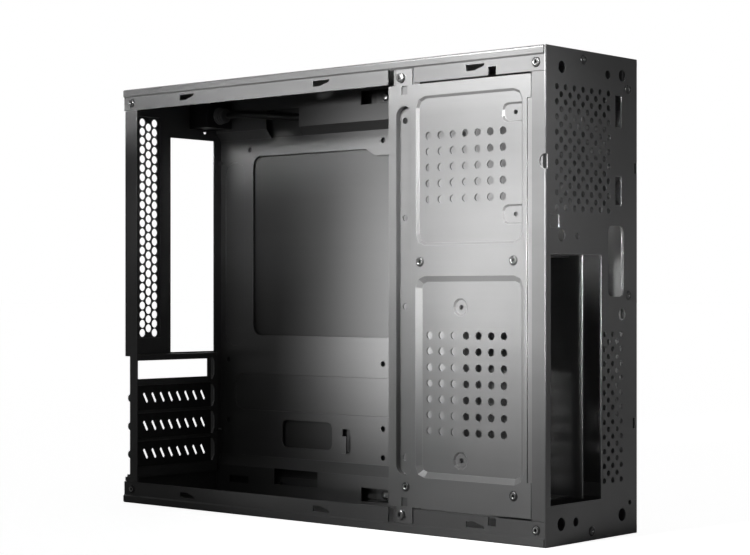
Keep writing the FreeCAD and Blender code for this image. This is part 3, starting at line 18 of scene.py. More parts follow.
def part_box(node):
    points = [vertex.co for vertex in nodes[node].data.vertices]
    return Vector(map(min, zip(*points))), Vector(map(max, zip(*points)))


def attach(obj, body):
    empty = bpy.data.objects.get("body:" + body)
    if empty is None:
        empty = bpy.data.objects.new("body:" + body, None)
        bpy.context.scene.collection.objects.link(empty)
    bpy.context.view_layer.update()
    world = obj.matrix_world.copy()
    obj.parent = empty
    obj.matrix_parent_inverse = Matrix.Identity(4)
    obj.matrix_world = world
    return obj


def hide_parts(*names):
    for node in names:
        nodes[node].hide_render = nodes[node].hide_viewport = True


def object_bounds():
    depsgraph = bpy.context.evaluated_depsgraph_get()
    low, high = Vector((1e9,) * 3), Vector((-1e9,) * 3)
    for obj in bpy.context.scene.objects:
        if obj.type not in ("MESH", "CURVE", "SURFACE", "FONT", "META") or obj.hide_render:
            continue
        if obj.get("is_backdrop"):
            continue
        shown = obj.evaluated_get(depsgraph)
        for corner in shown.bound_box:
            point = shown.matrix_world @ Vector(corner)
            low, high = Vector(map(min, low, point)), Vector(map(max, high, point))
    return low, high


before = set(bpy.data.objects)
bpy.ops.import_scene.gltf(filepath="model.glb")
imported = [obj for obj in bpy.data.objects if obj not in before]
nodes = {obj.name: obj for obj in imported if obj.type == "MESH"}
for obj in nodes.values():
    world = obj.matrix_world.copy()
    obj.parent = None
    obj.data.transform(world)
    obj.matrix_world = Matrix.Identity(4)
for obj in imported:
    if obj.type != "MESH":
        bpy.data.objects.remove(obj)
cad_box = [list(corner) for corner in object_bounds()]
MM = 0.001
print("pieces in the frame:", len(nodes))

# %% [markdown]
# ## Helpers for meshes and objects
# The frame's meshes are loose triangles, and they stay as they are. Each copy starts with its
# corners merged, so that neighbouring triangles know each other, and most go on with the edges
# inside flat faces dropped. Small helpers do what nearly every step below needs: make such a
# copy, clear its flat faces, turn a worked mesh into data, and put data in the scene.

# %% Copy, keep and show a mesh
JOIN_WITHIN = 0.001 * MM
FLAT_WITHIN = math.radians(0.5)


def merged_copy(name):
    """A mesh to work on, with a node's triangles joined at their corners."""
    mesh = bmesh.new()
    mesh.from_mesh(nodes[name].data)
    bmesh.ops.remove_doubles(mesh, verts=mesh.verts, dist=JOIN_WITHIN)
    return mesh


def clear_flat_faces(mesh):
    """Drops the edges that lie inside flat faces."""
    bmesh.ops.dissolve_limit(mesh, angle_limit=FLAT_WITHIN, verts=mesh.verts, edges=mesh.edges)


def kept(name, mesh):
    """Mesh data from a worked mesh, which is freed."""
    data = bpy.data.meshes.new(name)
    mesh.to_mesh(data)
    mesh.free()
    return data


def shown(name, data):
    """A new object in the scene that holds the data."""
    thing = bpy.data.objects.new(name, data)
    bpy.context.scene.collection.objects.link(thing)
    return thing


tray_copy = merged_copy("motherboard_tray")
print("triangles of the tray:", len(tray_copy.faces))
clear_flat_faces(tray_copy)
print("faces left when its flat ones are cleared:", len(tray_copy.faces))
tray_copy.free()

# %% [markdown]
# ## Reading places from the frame
# Like fasteners share one node. The script needs the place of each single rivet or screw, which
# could be typed in as numbers. It splits a node into its separate solids instead: triangles that
# share a corner belong together. This keeps every fastener where the frame has it, also when a
# size changes.

# %% Find the separate solids of a node
SORTING_DIGITS = 4


def solids_of(name):
    """The lowest and highest corner of each separate solid in a node."""
    mesh = merged_copy(name)
    waiting = set(mesh.verts)
    boxes = []
    while waiting:
        reached = [waiting.pop()]
        solid = []
        while reached:
            corner = reached.pop()
            solid.append(corner.co.copy())
            for edge in corner.link_edges:
                other = edge.other_vert(corner)
                if other in waiting:
                    waiting.remove(other)
                    reached.append(other)
        boxes.append((Vector(map(min, zip(*solid))), Vector(map(max, zip(*solid)))))
    mesh.free()
    return sorted(boxes, key=lambda box: tuple(round(value, SORTING_DIGITS) for value in box[0]))


for fastener in ("corner_rivets", "cage_rivets", "plate_screws"):
    print(fastener, "has", len(solids_of(fastener)), "solids")

# %% [markdown]
# ## A shared grain for coated steel
# Coated sheet is never one flat grey. Rolling leaves faint streaks along the sheet, the coat
# gathers in soft clouds, and close up its skin is finely pebbled. A painted picture could hold
# all this, but it would need unfolding and would blur close up. One node group makes it from a
# place on the object instead, and every material uses the group with its own tones.

# %% Small parts of a node tree
def new_group(name, inputs, outputs):
    """A shader group with named sockets: inputs are (name, kind, value)."""
    group = bpy.data.node_groups.new(name, "ShaderNodeTree")
    for title, kind, value in inputs:
        socket = group.interface.new_socket(title, in_out="INPUT", socket_type=kind)
        if value is not None:
            socket.default_value = value
    for title, kind in outputs:
        group.interface.new_socket(title, in_out="OUTPUT", socket_type=kind)
    return group, group.nodes.new("NodeGroupInput"), group.nodes.new("NodeGroupOutput")


def math_node(tree, operation, first, second):
    """A Math node whose inputs are sockets or plain numbers."""
    node = tree.nodes.new("ShaderNodeMath")
    node.operation = operation
    for socket, value in zip(node.inputs, (first, second)):
        if isinstance(value, (int, float)):
            socket.default_value = value
        else:
            tree.links.new(value, socket)
    return node.outputs[0]


def noise(tree, place, scale, detail, stretch=(1, 1, 1)):
    """Noise at a scale per metre, stretched along the axes."""
    mapping = tree.nodes.new("ShaderNodeMapping")
    mapping.inputs["Scale"].default_value = stretch
    tree.links.new(place, mapping.inputs["Vector"])
    texture = tree.nodes.new("ShaderNodeTexNoise")
    texture.inputs["Scale"].default_value = scale
    texture.inputs["Detail"].default_value = detail
    tree.links.new(mapping.outputs["Vector"], texture.inputs["Vector"])
    return texture.outputs["Fac"]


print("helpers:", new_group.__name__, math_node.__name__, noise.__name__)

# %% Build the coat grain group
CLOUDS_PER_METRE, CLOUD_DETAIL = 14, 3
STREAKS_PER_METRE, STREAK_DETAIL = 160, 2
PEBBLES_PER_METRE, PEBBLE_DETAIL = 1500, 1
ALONG_THE_SHEET = (0.04, 1, 1)
STREAK_WEIGHT = 0.3

coat_grain, grain_in, grain_out = new_group(
    "coat_grain",
    [("Place", "NodeSocketVector", None), ("Streaks", "NodeSocketFloat", STREAK_WEIGHT)],
    [("Shade", "NodeSocketFloat"), ("Skin", "NodeSocketFloat")],
)
grain_place = grain_in.outputs["Place"]
clouds = noise(coat_grain, grain_place, CLOUDS_PER_METRE, CLOUD_DETAIL)
streaks = noise(coat_grain, grain_place, STREAKS_PER_METRE, STREAK_DETAIL, ALONG_THE_SHEET)
pebbles = noise(coat_grain, grain_place, PEBBLES_PER_METRE, PEBBLE_DETAIL)
streak_share = math_node(coat_grain, "MULTIPLY", streaks, grain_in.outputs["Streaks"])
shade = math_node(coat_grain, "ADD", clouds, streak_share)
coat_grain.links.new(shade, grain_out.inputs["Shade"])
coat_grain.links.new(pebbles, grain_out.inputs["Skin"])
print("coat grain group:", len(coat_grain.nodes), "nodes")

# %% [markdown]
# ## Steel, zinc and plastic
# All metals and plastics here come from one recipe: a darker and a lighter tone mixed by the
# grain, a roughness that follows the grain, and a very low bump for the skin. Each could have a
# tree of its own, but one recipe keeps them alike and leaves only a few numbers to choose. The
# coated steel is satin, and its tones are set part by part: the tray and the cage are lighter
# than the case as painted light, and the far cover and the slot covers are darker as painted
# shade. The cut edges are brighter, partly where the coat is thin and partly as a painted
# highlight. Rivet heads are coated dark. Their lips are bare aluminium as a painted highlight of
# the ring, and their pins are bare aluminium.

# %% Write the recipe
SMOOTHER, ROUGHER = 0.06, 0.08
SKIN_HEIGHT = 0.02 * MM
LOW_SKIN, MIDDLE_SKIN, HIGH_SKIN = 0.1, 0.15, 0.3


def grey(value):
    """A neutral colour."""
    return (value, value, value, 1.0)


def grained(name, dark, light, roughness, metallic, skin_strength=MIDDLE_SKIN):
    """A material whose tone, roughness and skin follow the coat grain."""
    material = bpy.data.materials.new(name)
    material.use_nodes = True
    tree = material.node_tree
    shader = tree.nodes["Principled BSDF"]
    place = tree.nodes.new("ShaderNodeTexCoord").outputs["Object"]
    grain = tree.nodes.new("ShaderNodeGroup")
    grain.node_tree = coat_grain
    grain.inputs["Streaks"].default_value = STREAK_WEIGHT
    tree.links.new(place, grain.inputs["Place"])
    tone = tree.nodes.new("ShaderNodeMix")
    tone.data_type = "RGBA"
    tone.inputs["A"].default_value = grey(dark)
    tone.inputs["B"].default_value = grey(light)
    tree.links.new(grain.outputs["Shade"], tone.inputs["Factor"])
    tree.links.new(tone.outputs["Result"], shader.inputs["Base Color"])
    spread = tree.nodes.new("ShaderNodeMapRange")
    spread.inputs["To Min"].default_value = roughness - SMOOTHER
    spread.inputs["To Max"].default_value = roughness + ROUGHER
    tree.links.new(grain.outputs["Shade"], spread.inputs["Value"])
    tree.links.new(spread.outputs["Result"], shader.inputs["Roughness"])
    skin = tree.nodes.new("ShaderNodeBump")
    skin.inputs["Strength"].default_value = skin_strength
    skin.inputs["Distance"].default_value = SKIN_HEIGHT
    tree.links.new(grain.outputs["Skin"], skin.inputs["Height"])
    tree.links.new(skin.outputs["Normal"], shader.inputs["Normal"])
    shader.inputs["Metallic"].default_value = metallic
    return material


print("a middle grey:", grey(0.5))

# %% Make the materials
COATED = grained("coated_steel", dark=0.10, light=0.135, roughness=0.38, metallic=0.4)
# The tray's and the cage's lighter tones are painted light; the far cover's and the slot covers'
# darker tones are painted shade.
TRAY_WITH_PAINTED_LIGHT = grained("tray_steel", dark=0.13, light=0.18, roughness=0.36, metallic=0.4)
COVER_WITH_PAINTED_SHADE = grained("far_cover_painted_shade", dark=0.075, light=0.105, roughness=0.36, metallic=0.4)
CAGE_WITH_PAINTED_LIGHT = grained("cage_steel_painted_light", dark=0.11, light=0.15, roughness=0.38, metallic=0.4)
SLOT_COVER_WITH_PAINTED_SHADE = grained("slot_cover_painted_shade", dark=0.03, light=0.05, roughness=0.4, metallic=0.3)
PLATE = grained("plate_steel", dark=0.14, light=0.19, roughness=0.38, metallic=0.4)
# The cut edge is brighter than the coat, partly for a thin coat and partly as a painted
# highlight.
EDGE_WEAR_AND_HIGHLIGHT = grained("cut_edge_and_painted_highlight", dark=0.22, light=0.34, roughness=0.35, metallic=0.6,
               skin_strength=HIGH_SKIN)
RIVET = grained("rivet_head", dark=0.05, light=0.08, roughness=0.3, metallic=0.7)
# Bare aluminium for pins and buttons; on the rivets' lips it is a painted highlight.
BARE_METAL_AND_HIGHLIGHT = grained("bare_aluminium_and_painted_highlight", dark=0.5, light=0.65, roughness=0.25, metallic=1.0)
SCREW = grained("screw_zinc", dark=0.16, light=0.24, roughness=0.3, metallic=0.9)
INLET = grained("inlet_plastic", dark=0.012, light=0.02, roughness=0.5, metallic=0.0,
                skin_strength=HIGH_SKIN)
BLADE = grained("blade_metal", dark=0.45, light=0.6, roughness=0.25, metallic=1.0)
BOOT = grained("boot_rubber", dark=0.10, light=0.16, roughness=0.6, metallic=0.0,
               skin_strength=HIGH_SKIN)
JACKET = grained("lead_jacket", dark=0.010, light=0.018, roughness=0.38, metallic=0.0,
                 skin_strength=LOW_SKIN)
print("materials:", len(bpy.data.materials))

# %% [markdown]
# ## Round holes in punched sheet
# The vents and perforations are punched, so each is a clean circle. The frame draws them with
# few sides. They could be cut again with a Boolean for every hole, which is slow and leaves poor
# faces. We keep the holes instead: the flat walls of each are split, and the new corners are set
# on the circle that the walls touch, so that no hole gets larger than it was.

# %% Find the punched holes
THICKEST_SHEET = 1.3 * MM
FEWEST_DEGREES, MOST_DEGREES = 30, 65
FEWEST_WALLS = 5


def hole_rings(mesh):
    """The corner edges of each punched hole, with the walls between them."""
    corners = []
    for edge in mesh.edges:
        if len(edge.link_faces) == 2 and edge.calc_length() < THICKEST_SHEET:
            inward_turn = -math.degrees(edge.calc_face_angle_signed(0))
            if FEWEST_DEGREES < inward_turn < MOST_DEGREES:
                corners.append(edge)
    waiting = set(corners)
    for first in corners:
        if first not in waiting:
            continue
        waiting.remove(first)
        ring, walls, reached = [first], set(), [first]
        while reached:
            for wall in reached.pop().link_faces:
                walls.add(wall)
                for edge in wall.edges:
                    if edge in waiting:
                        waiting.remove(edge)
                        ring.append(edge)
                        reached.append(edge)
        if len(ring) == len(walls) >= FEWEST_WALLS:
            yield ring, walls


plate_copy = merged_copy("drive_plate")
clear_flat_faces(plate_copy)
print("punched holes in the drive plate:", len(list(hole_rings(plate_copy))))
plate_copy.free()

# %% Set the walls of the holes on circles
EVEN_WITHIN = 1.05
REACH_FACTOR = 1.001
SIDE_CUTS = 2


def even_holes(mesh):
    """The even-sided holes, as (centre, axis, radius, reach), and the rim edges of them all."""
    holes, rims = [], set()
    for ring, walls in hole_rings(mesh):
        areas = [wall.calc_area() for wall in walls]
        if max(areas) > EVEN_WITHIN * min(areas):
            continue
        corners = [corner.co.copy() for edge in ring for corner in edge.verts]
        centre = sum(corners, Vector()) / len(corners)
        axis = (ring[0].verts[1].co - ring[0].verts[0].co).normalized()
        depths = [abs((wall.calc_center_median() - centre).dot(wall.normal)) for wall in walls]
        reach = REACH_FACTOR * max((corner - centre).length for corner in corners)
        holes.append((centre, axis, sum(depths) / len(walls), reach))
        rims.update({edge for wall in walls for edge in wall.edges} - set(ring))
    return holes, rims


def round_holes(mesh):
    """Splits the flat walls of each even-sided hole and sets them on a circle.

    Returns the numbers of the corners that were moved."""
    holes, rims = even_holes(mesh)
    bmesh.ops.subdivide_edges(mesh, edges=list(rims), cuts=SIDE_CUTS, use_grid_fill=True)
    mesh.verts.ensure_lookup_table()
    tree = KDTree(len(mesh.verts))
    for number, corner in enumerate(mesh.verts):
        tree.insert(corner.co, number)
    tree.balance()
    mesh.verts.index_update()
    moved = set()
    for centre, axis, radius, reach in holes:
        for place, number, _ in tree.find_range(centre, reach):
            moved.add(number)
            along = axis * (place - centre).dot(axis)
            outward = (place - centre - along).normalized()
            mesh.verts[number].co = centre + along + outward * radius
    return moved


print("corners of a hole with 6 sides after the cuts:", 6 * (SIDE_CUTS + 1))

# %% [markdown]
# ## Folded sheets with soft edges
# A folded sheet has no truly sharp edge: punching rolls one side over and leaves a fine bright
# line on the other. A bump could fake this, but only a real small face catches the light in every
# view. So each sheet is copied from the frame, its flat faces are cleared, and a Bevel modifier
# rounds the sharp edges. The bevel's faces take the second material, the cut edge, which is
# brighter than the coat partly where the coat is thin and partly as a painted highlight. The rims
# of round holes stay as they are, because a bevel there would need too many faces. On the top and
# bottom a notch comes close to a fold, so the bevel is narrower there and leaves the folds alone.

# %% Copy a sheet and soften its edges
QUAD_CORNERS = 4
EDGE_WIDTH = 0.16 * MM
NARROW_EDGE = 0.5 * EDGE_WIDTH
EDGE_SEGMENTS = 2
SECOND_MATERIAL = 1
ROLLED_TURN = 24
FOLD_TURN = 50


def softened(name, face, slot, width=EDGE_WIDTH, edge=EDGE_WEAR_AND_HIGHLIGHT, turn=ROLLED_TURN):
    """A copy of a node with rolled edges that stands for it."""
    mesh = merged_copy(name)
    clear_flat_faces(mesh)
    bmesh.ops.connect_verts_concave(
        mesh, faces=[side for side in mesh.faces if len(side.verts) > QUAD_CORNERS])
    round_rims = round_holes(mesh)
    rolled = mesh.edges.layers.float.new("bevel_weight_edge")
    for side in mesh.edges:
        punched_round = all(corner.index in round_rims for corner in side.verts)
        if not punched_round and side.calc_face_angle(0) > math.radians(turn):
            side[rolled] = 1.0
    piece = shown(name + "_sheet", kept(name + "_sheet", mesh))
    piece.data.materials.append(face)
    piece.data.materials.append(edge)
    bevel = piece.modifiers.new("rolled edge", "BEVEL")
    bevel.width = width
    bevel.segments = EDGE_SEGMENTS
    bevel.limit_method = "WEIGHT"
    bevel.material = SECOND_MATERIAL
    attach(piece, "root")
    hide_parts(name)
    print(piece.name, len(piece.data.polygons), "faces before the bevel")


SHEETS = (
    (COATED, "coated_steel", ("rear_panel", "front_panel")),
    (COVER_WITH_PAINTED_SHADE, "coated_steel", ("side_cover",)),
    (TRAY_WITH_PAINTED_LIGHT, "tray_steel", ("motherboard_tray",)),
    (CAGE_WITH_PAINTED_LIGHT, "tray_steel", ("drive_cage",)),
    (PLATE, "plate_steel", ("drive_plate",)),
    (SLOT_COVER_WITH_PAINTED_SHADE, "plate_steel", ("slot_cover_upper", "slot_cover_middle", "slot_cover_lower")),
)
for sheet_name in ("top_panel", "bottom_panel"):
    softened(sheet_name, COATED, "coated_steel", NARROW_EDGE, turn=FOLD_TURN)
for face_material, slot_name, sheet_names in SHEETS:
    for sheet_name in sheet_names:
        softened(sheet_name, face_material, slot_name)

# %% [markdown]
# ## Turned pieces
# Rivets, screws and the lead's sleeve are turned: one profile spun about an axis. Blender's
# Screw modifier could spin them too. A small lathe function is as short, closes the poles and
# needs no modifier to apply: it takes the profile as distances from the axis and along it.

# %% A small lathe
LATHE_STEPS = 24
ON_THE_AXIS = 1e-9
TURNED_CREASE = math.radians(40)


def lathe(name, profile, steps=LATHE_STEPS):
    """Spins (radius, height) points about the Z axis and returns a closed mesh."""
    mesh = bmesh.new()
    turn = 2 * math.pi / steps
    rings = []
    for radius, height in profile:
        if radius < ON_THE_AXIS:
            rings.append([mesh.verts.new((0, 0, height))])
            continue
        rings.append([
            mesh.verts.new((radius * math.cos(turn * k), radius * math.sin(turn * k), height))
            for k in range(steps)])
    for low, high in zip(rings, rings[1:]):
        for k in range(steps):
            following = (k + 1) % steps
            corners = [low[k % len(low)], low[following % len(low)],
                       high[following % len(high)], high[k % len(high)]]
            unique = list(dict.fromkeys(corners))
            if len(unique) > 2:
                mesh.faces.new(unique)
    bmesh.ops.remove_doubles(mesh, verts=mesh.verts, dist=JOIN_WITHIN)
    bmesh.ops.recalc_face_normals(mesh, faces=mesh.faces)
    data = kept(name, mesh)
    data.shade_smooth()
    data.set_sharp_from_angle(angle=TURNED_CREASE)
    print(name, "turned with", len(data.polygons), "faces")
    return data


# %% [markdown]
# ## Rivets and screws by Geometry Nodes
# The case is held by some two dozen like fasteners. Each could be a linked copy, but the export
# wants plain meshes, and one tree serves them all. It places a turned template at every
# fastener. Each place is a point that carries the direction in which the head looks. The tree
# turns the template to it, makes the instances real and gives them their metal.

# %% Build the placing tree
def placing_tree():
    """Instances a template on points, with its Z axis along each point's direction."""
    tree = bpy.data.node_groups.new("place_fasteners", "GeometryNodeTree")
    for title, kind in (("Places", "NodeSocketGeometry"), ("Template", "NodeSocketObject"),
                        ("Size", "NodeSocketFloat"), ("Metal", "NodeSocketMaterial")):
        tree.interface.new_socket(title, in_out="INPUT", socket_type=kind)
    tree.interface.new_socket("Fasteners", in_out="OUTPUT", socket_type="NodeSocketGeometry")
    given = tree.nodes.new("NodeGroupInput")
    result = tree.nodes.new("NodeGroupOutput")
    template = tree.nodes.new("GeometryNodeObjectInfo")
    direction = tree.nodes.new("GeometryNodeInputNamedAttribute")
    direction.data_type = "FLOAT_VECTOR"
    direction.inputs["Name"].default_value = "outward"
    aim = tree.nodes.new("FunctionNodeAlignRotationToVector")
    aim.axis = "Z"
    spread = tree.nodes.new("GeometryNodeInstanceOnPoints")
    real = tree.nodes.new("GeometryNodeRealizeInstances")
    metal = tree.nodes.new("GeometryNodeSetMaterial")
    tree.links.new(given.outputs["Places"], spread.inputs["Points"])
    tree.links.new(given.outputs["Template"], template.inputs["Object"])
    tree.links.new(template.outputs["Geometry"], spread.inputs["Instance"])
    tree.links.new(direction.outputs["Attribute"], aim.inputs["Vector"])
    tree.links.new(aim.outputs["Rotation"], spread.inputs["Rotation"])
    tree.links.new(given.outputs["Size"], spread.inputs["Scale"])
    tree.links.new(spread.outputs["Instances"], real.inputs["Geometry"])
    tree.links.new(real.outputs["Geometry"], metal.inputs["Geometry"])
    tree.links.new(given.outputs["Metal"], metal.inputs["Material"])
    tree.links.new(metal.outputs["Geometry"], result.inputs["Fasteners"])
    return tree


PLACING = placing_tree()
SOCKETS = {item.name: item.identifier
           for item in PLACING.interface.items_tree if item.in_out == "INPUT"}
print("inputs of the placing tree:", ", ".join(SOCKETS))

# %% Place fasteners
TRUE_SIZE = 1.0


def place_fasteners(name, template_mesh, places, metal, replaced=None):
    """One mesh with a fastener at each (place, direction)."""
    template = shown(name + "_template", template_mesh)
    points = bpy.data.meshes.new(name + "_places")
    points.from_pydata([place for place, _ in places], [], [])
    outward = points.attributes.new("outward", "FLOAT_VECTOR", "POINT")
    outward.data.foreach_set("vector", [value for _, looks in places for value in looks])
    carrier = shown(name + "_carrier", points)
    modifier = carrier.modifiers.new("place", "NODES")
    modifier.node_group = PLACING
    modifier[SOCKETS["Template"]] = template
    modifier[SOCKETS["Size"]] = TRUE_SIZE
    modifier[SOCKETS["Metal"]] = metal
    bpy.context.view_layer.update()
    evaluated = carrier.evaluated_get(bpy.context.evaluated_depsgraph_get())
    piece = shown(name, bpy.data.meshes.new_from_object(evaluated))
    bpy.data.objects.remove(carrier)
    bpy.data.objects.remove(template)
    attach(piece, "root")
    if replaced:
        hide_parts(replaced)
    print(name, len(places), "places,", len(piece.data.polygons), "faces")


def places_along(name, direction, depth_behind_face):
    """Places on each solid's outer face, or behind it, for heads that look along a direction."""
    places = []
    for low, high in solids_of(name):
        half_size = Vector((abs(value) for value in (high - low) / 2))
        reach = half_size.dot(Vector(map(abs, direction)))
        middle = (low + high) / 2
        places.append((middle + Vector(direction) * (reach - depth_behind_face), direction))
    return places


NEAR_SIDE, FRONT, REAR = (0, -1, 0), (1, 0, 0), (-1, 0, 0)
print("cage rivets look along", NEAR_SIDE, "from", len(places_along("cage_rivets", NEAR_SIDE, 0)),
      "places")

# %% [markdown]
# ## Blind rivets
# A blind rivet shows a ring with a hole in it, because its pin snapped off inside. Behind the
# sheets it has a bulb. A plain dome would be quicker, but the ring is what the eye looks for. The
# template's zero lies on the sheet's outer face, as the head's underside does. The head is coated
# dark like the case. The bright bare lip around the hole is a painted highlight of the ring, and
# at the front a bright pin end is left in it, so lip and pin are pieces of their own.

# %% Turn and place the rivets
HEAD = 3.1 * MM
SHANK = 1.6 * MM
MOUTH = 1.05 * MM
PIN = 0.9 * MM
RISE = 0.9 * MM
TAIL = 4.0 * MM
GRIP = 2.0 * MM

rivet_template = lathe("rivet", [
    (0, -TAIL), (1.3 * MM, -TAIL), (2.0 * MM, -TAIL + 0.5 * MM), (2.3 * MM, -TAIL + 1.2 * MM),
    (2.2 * MM, -GRIP), (SHANK, -GRIP), (SHANK, 0), (HEAD, 0), (HEAD, 0.2 * RISE),
    (HEAD - 0.25 * MM, 0.62 * RISE), (HEAD - 0.75 * MM, 0.94 * RISE), (HEAD - 1.1 * MM, RISE),
    (1.45 * MM, 0.92 * RISE), (1.15 * MM, 0.6 * RISE), (MOUTH, -0.6 * MM), (0.95 * MM, -0.9 * MM),
    (0, -1.0 * MM),
])
# The lip's bare aluminium is a painted highlight of the head's ring.
lip_template = lathe("lip", [
    (MOUTH, 0.5 * RISE), (1.2 * MM, 0.95 * RISE), (1.45 * MM, 1.12 * RISE),
    (1.75 * MM, 1.1 * RISE), (1.9 * MM, 0.9 * RISE), (1.6 * MM, 0.5 * RISE), (MOUTH, 0.5 * RISE),
])
pin_template = lathe("pin", [
    (0, -0.9 * MM), (PIN, -0.9 * MM), (PIN, 0.5 * RISE), (0.6 * MM, RISE), (0, 1.1 * RISE),
])
for rivet_node, looks, bright_part in (("corner_rivets", NEAR_SIDE, lip_template),
                                       ("cage_rivets", NEAR_SIDE, lip_template),
                                       ("front_rivets", FRONT, pin_template)):
    rivet_places = places_along(rivet_node, looks, RISE)
    place_fasteners(rivet_node + "_turned", rivet_template, rivet_places, RIVET, rivet_node)
    place_fasteners(rivet_node + "_bright", bright_part, rivet_places, BARE_METAL_AND_HIGHLIGHT)

# %% [markdown]
# ## Flush rivets
# Under the flat far cover the rivets are set flush outside, and their round heads look inwards.
# The two that hold the tray's tabs show through the tray's windows as bright buttons. They are
# placed like the others, with a closed head and a short shank.

# %% Turn and place the flush rivets
BUTTON = 0.9 * MM

button_template = lathe("button", [
    (0, -GRIP), (SHANK, -GRIP), (SHANK, 0), (HEAD, 0), (HEAD, 0.2 * BUTTON),
    (HEAD - 0.5 * MM, 0.7 * BUTTON), (HEAD - 1.3 * MM, 0.96 * BUTTON), (0.8 * MM, BUTTON),
    (0.6 * MM, 0.8 * BUTTON), (0, 0.75 * BUTTON),
])
for rivet_node in ("far_corner_rivets", "tray_rivets"):
    place_fasteners(rivet_node + "_turned", button_template,
                    places_along(rivet_node, NEAR_SIDE, BUTTON), BARE_METAL_AND_HIGHLIGHT, rivet_node)

# %% [markdown]
# ## Screws with a cross recess
# The plate, the slot covers and the far cover are held by small pan head screws. A dark cross
# could be painted on the head, but it would lie flat. The recess is cut with a Boolean modifier
# from two crossed wedges, once, before the screw is placed. A few rings stand for the thread.

# %% Turn and cut the screw
SCREW_HEAD = 3.1 * MM
SCREW_RISE = 2.2 * MM
THREAD_RINGS = 8
THREAD_LENGTH = 5.0 * MM
THREAD_ROOT, THREAD_CREST = 1.22 * MM, 1.5 * MM
RECESS_SIZE = (3.6 * MM, 0.85 * MM, 2.4 * MM)
RECESS_MIDDLE = SCREW_RISE + 0.05 * MM
RECESS_FOOT = 0.35
RECESS_TURN = 0.6

pitch = THREAD_LENGTH / THREAD_RINGS
screw_profile = [(0, -THREAD_LENGTH)]
for ring_number in range(THREAD_RINGS):
    ring_foot = -THREAD_LENGTH + ring_number * pitch
    screw_profile += [(THREAD_ROOT, ring_foot), (THREAD_CREST, ring_foot + 0.5 * pitch)]
screw_profile += [
    (1.3 * MM, 0), (SCREW_HEAD, 0), (SCREW_HEAD, 0.45 * SCREW_RISE),
    (SCREW_HEAD - 0.25 * MM, 0.8 * SCREW_RISE), (SCREW_HEAD - 0.9 * MM, 0.97 * SCREW_RISE),
    (0, SCREW_RISE),
]
turned_screw = shown("turned_screw", lathe("screw", screw_profile))
wedges = bmesh.new()
for quarter in (0, math.pi / 2):
    wedge = bmesh.ops.create_cube(wedges, size=1)["verts"]
    bmesh.ops.scale(wedges, verts=wedge, vec=RECESS_SIZE)
    for wedge_corner in wedge:
        if wedge_corner.co.z < 0:
            wedge_corner.co.x *= RECESS_FOOT
    bmesh.ops.translate(wedges, verts=wedge, vec=(0, 0, RECESS_MIDDLE))
    bmesh.ops.rotate(wedges, verts=wedge, cent=(0, 0, 0),
                     matrix=Matrix.Rotation(quarter + RECESS_TURN, 3, "Z"))
cutter = shown("recess", kept("recess", wedges))
cut = turned_screw.modifiers.new("recess", "BOOLEAN")
cut.object = cutter
cut.solver = "EXACT"
cut.use_self = True
bpy.context.view_layer.update()
screw_template = bpy.data.meshes.new_from_object(
    turned_screw.evaluated_get(bpy.context.evaluated_depsgraph_get()))
bpy.data.objects.remove(turned_screw)
bpy.data.objects.remove(cutter)
print("faces of a screw with its recess:", len(screw_template.polygons))

# %% Place the screws
for screw_node, looks in (("plate_screws", NEAR_SIDE), ("slot_screws", NEAR_SIDE),
                          ("cover_screws", REAR)):
    place_fasteners(screw_node + "_turned", screw_template,
                    places_along(screw_node, looks, SCREW_RISE), SCREW, screw_node)

# %% [markdown]
# ## The inlet and its blades
# The inlet is a moulded body pushed through the rear panel, and three plated blades stand in its
# socket. Both could be modelled again, but the frame has their shapes right. So the body is
# softened like a sheet, with wider edges as a mould leaves them, and the blades only get metal.

# %% Finish the inlet
MOULDED_EDGE = 0.3 * MM

softened("power_inlet", INLET, "inlet_plastic", MOULDED_EDGE, INLET)
nodes["inlet_blades"].data.materials.clear()
nodes["inlet_blades"].data.materials.append(BLADE)
print("blades:", len(solids_of("inlet_blades")))

# %% [markdown]
# ## The sleeve and the lead
# A ridged sleeve of soft rubber holds the lead where it leaves the inlet. It is turned like the
# rivets, with a deep groove before each ridge. The lead bends gently into the upper window of
# the tray. It is short and held at both ends, so it keeps the frame's path. The frame draws it
# with ten flat sides, which a Subdivision Surface modifier makes round.

# %% Turn the sleeve
RIDGES = 3
FIRST_GROOVE, GROOVE_PITCH = 0.14, 0.28
RIDGE_TAPER = 0.06
GROOVE_DEPTH = 1.0 * MM
SLEEVE_STEPS = 48

sleeve_low, sleeve_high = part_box("inlet_boot")
sleeve_middle = (sleeve_low + sleeve_high) / 2
sleeve_length = sleeve_high.x - sleeve_low.x
sleeve_radius = (sleeve_high.z - sleeve_low.z) / 2
sleeve_profile = [(0, 0), (sleeve_radius, 0)]
for ridge in range(RIDGES):
    start = sleeve_length * (FIRST_GROOVE + GROOVE_PITCH * ridge)
    ridge_radius = sleeve_radius * (1 - RIDGE_TAPER * ridge)
    groove_radius = ridge_radius - GROOVE_DEPTH
    sleeve_profile += [
        (ridge_radius, start - 0.35 * MM), (ridge_radius - 0.3 * MM, start),
        (groove_radius, start + 0.15 * MM), (groove_radius, start + 0.7 * MM),
        (ridge_radius - 0.4 * MM, start + 0.85 * MM),
    ]
sleeve_profile += [
    (sleeve_radius * 0.84, sleeve_length * 0.92), (sleeve_radius * 0.74, sleeve_length),
    (0, sleeve_length),
]
sleeve = shown("inlet_sleeve", lathe("inlet_sleeve", sleeve_profile, SLEEVE_STEPS))
sleeve.data.transform(Matrix.Translation((sleeve_low.x, sleeve_middle.y, sleeve_middle.z))
                      @ Matrix.Rotation(math.pi / 2, 4, "Y"))
sleeve.data.materials.append(BOOT)
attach(sleeve, "root")
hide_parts("inlet_boot")
print("sleeve length mm:", round(sleeve_length / MM, 1))

# %% Round the lead
ROUNDING_LEVELS = 2

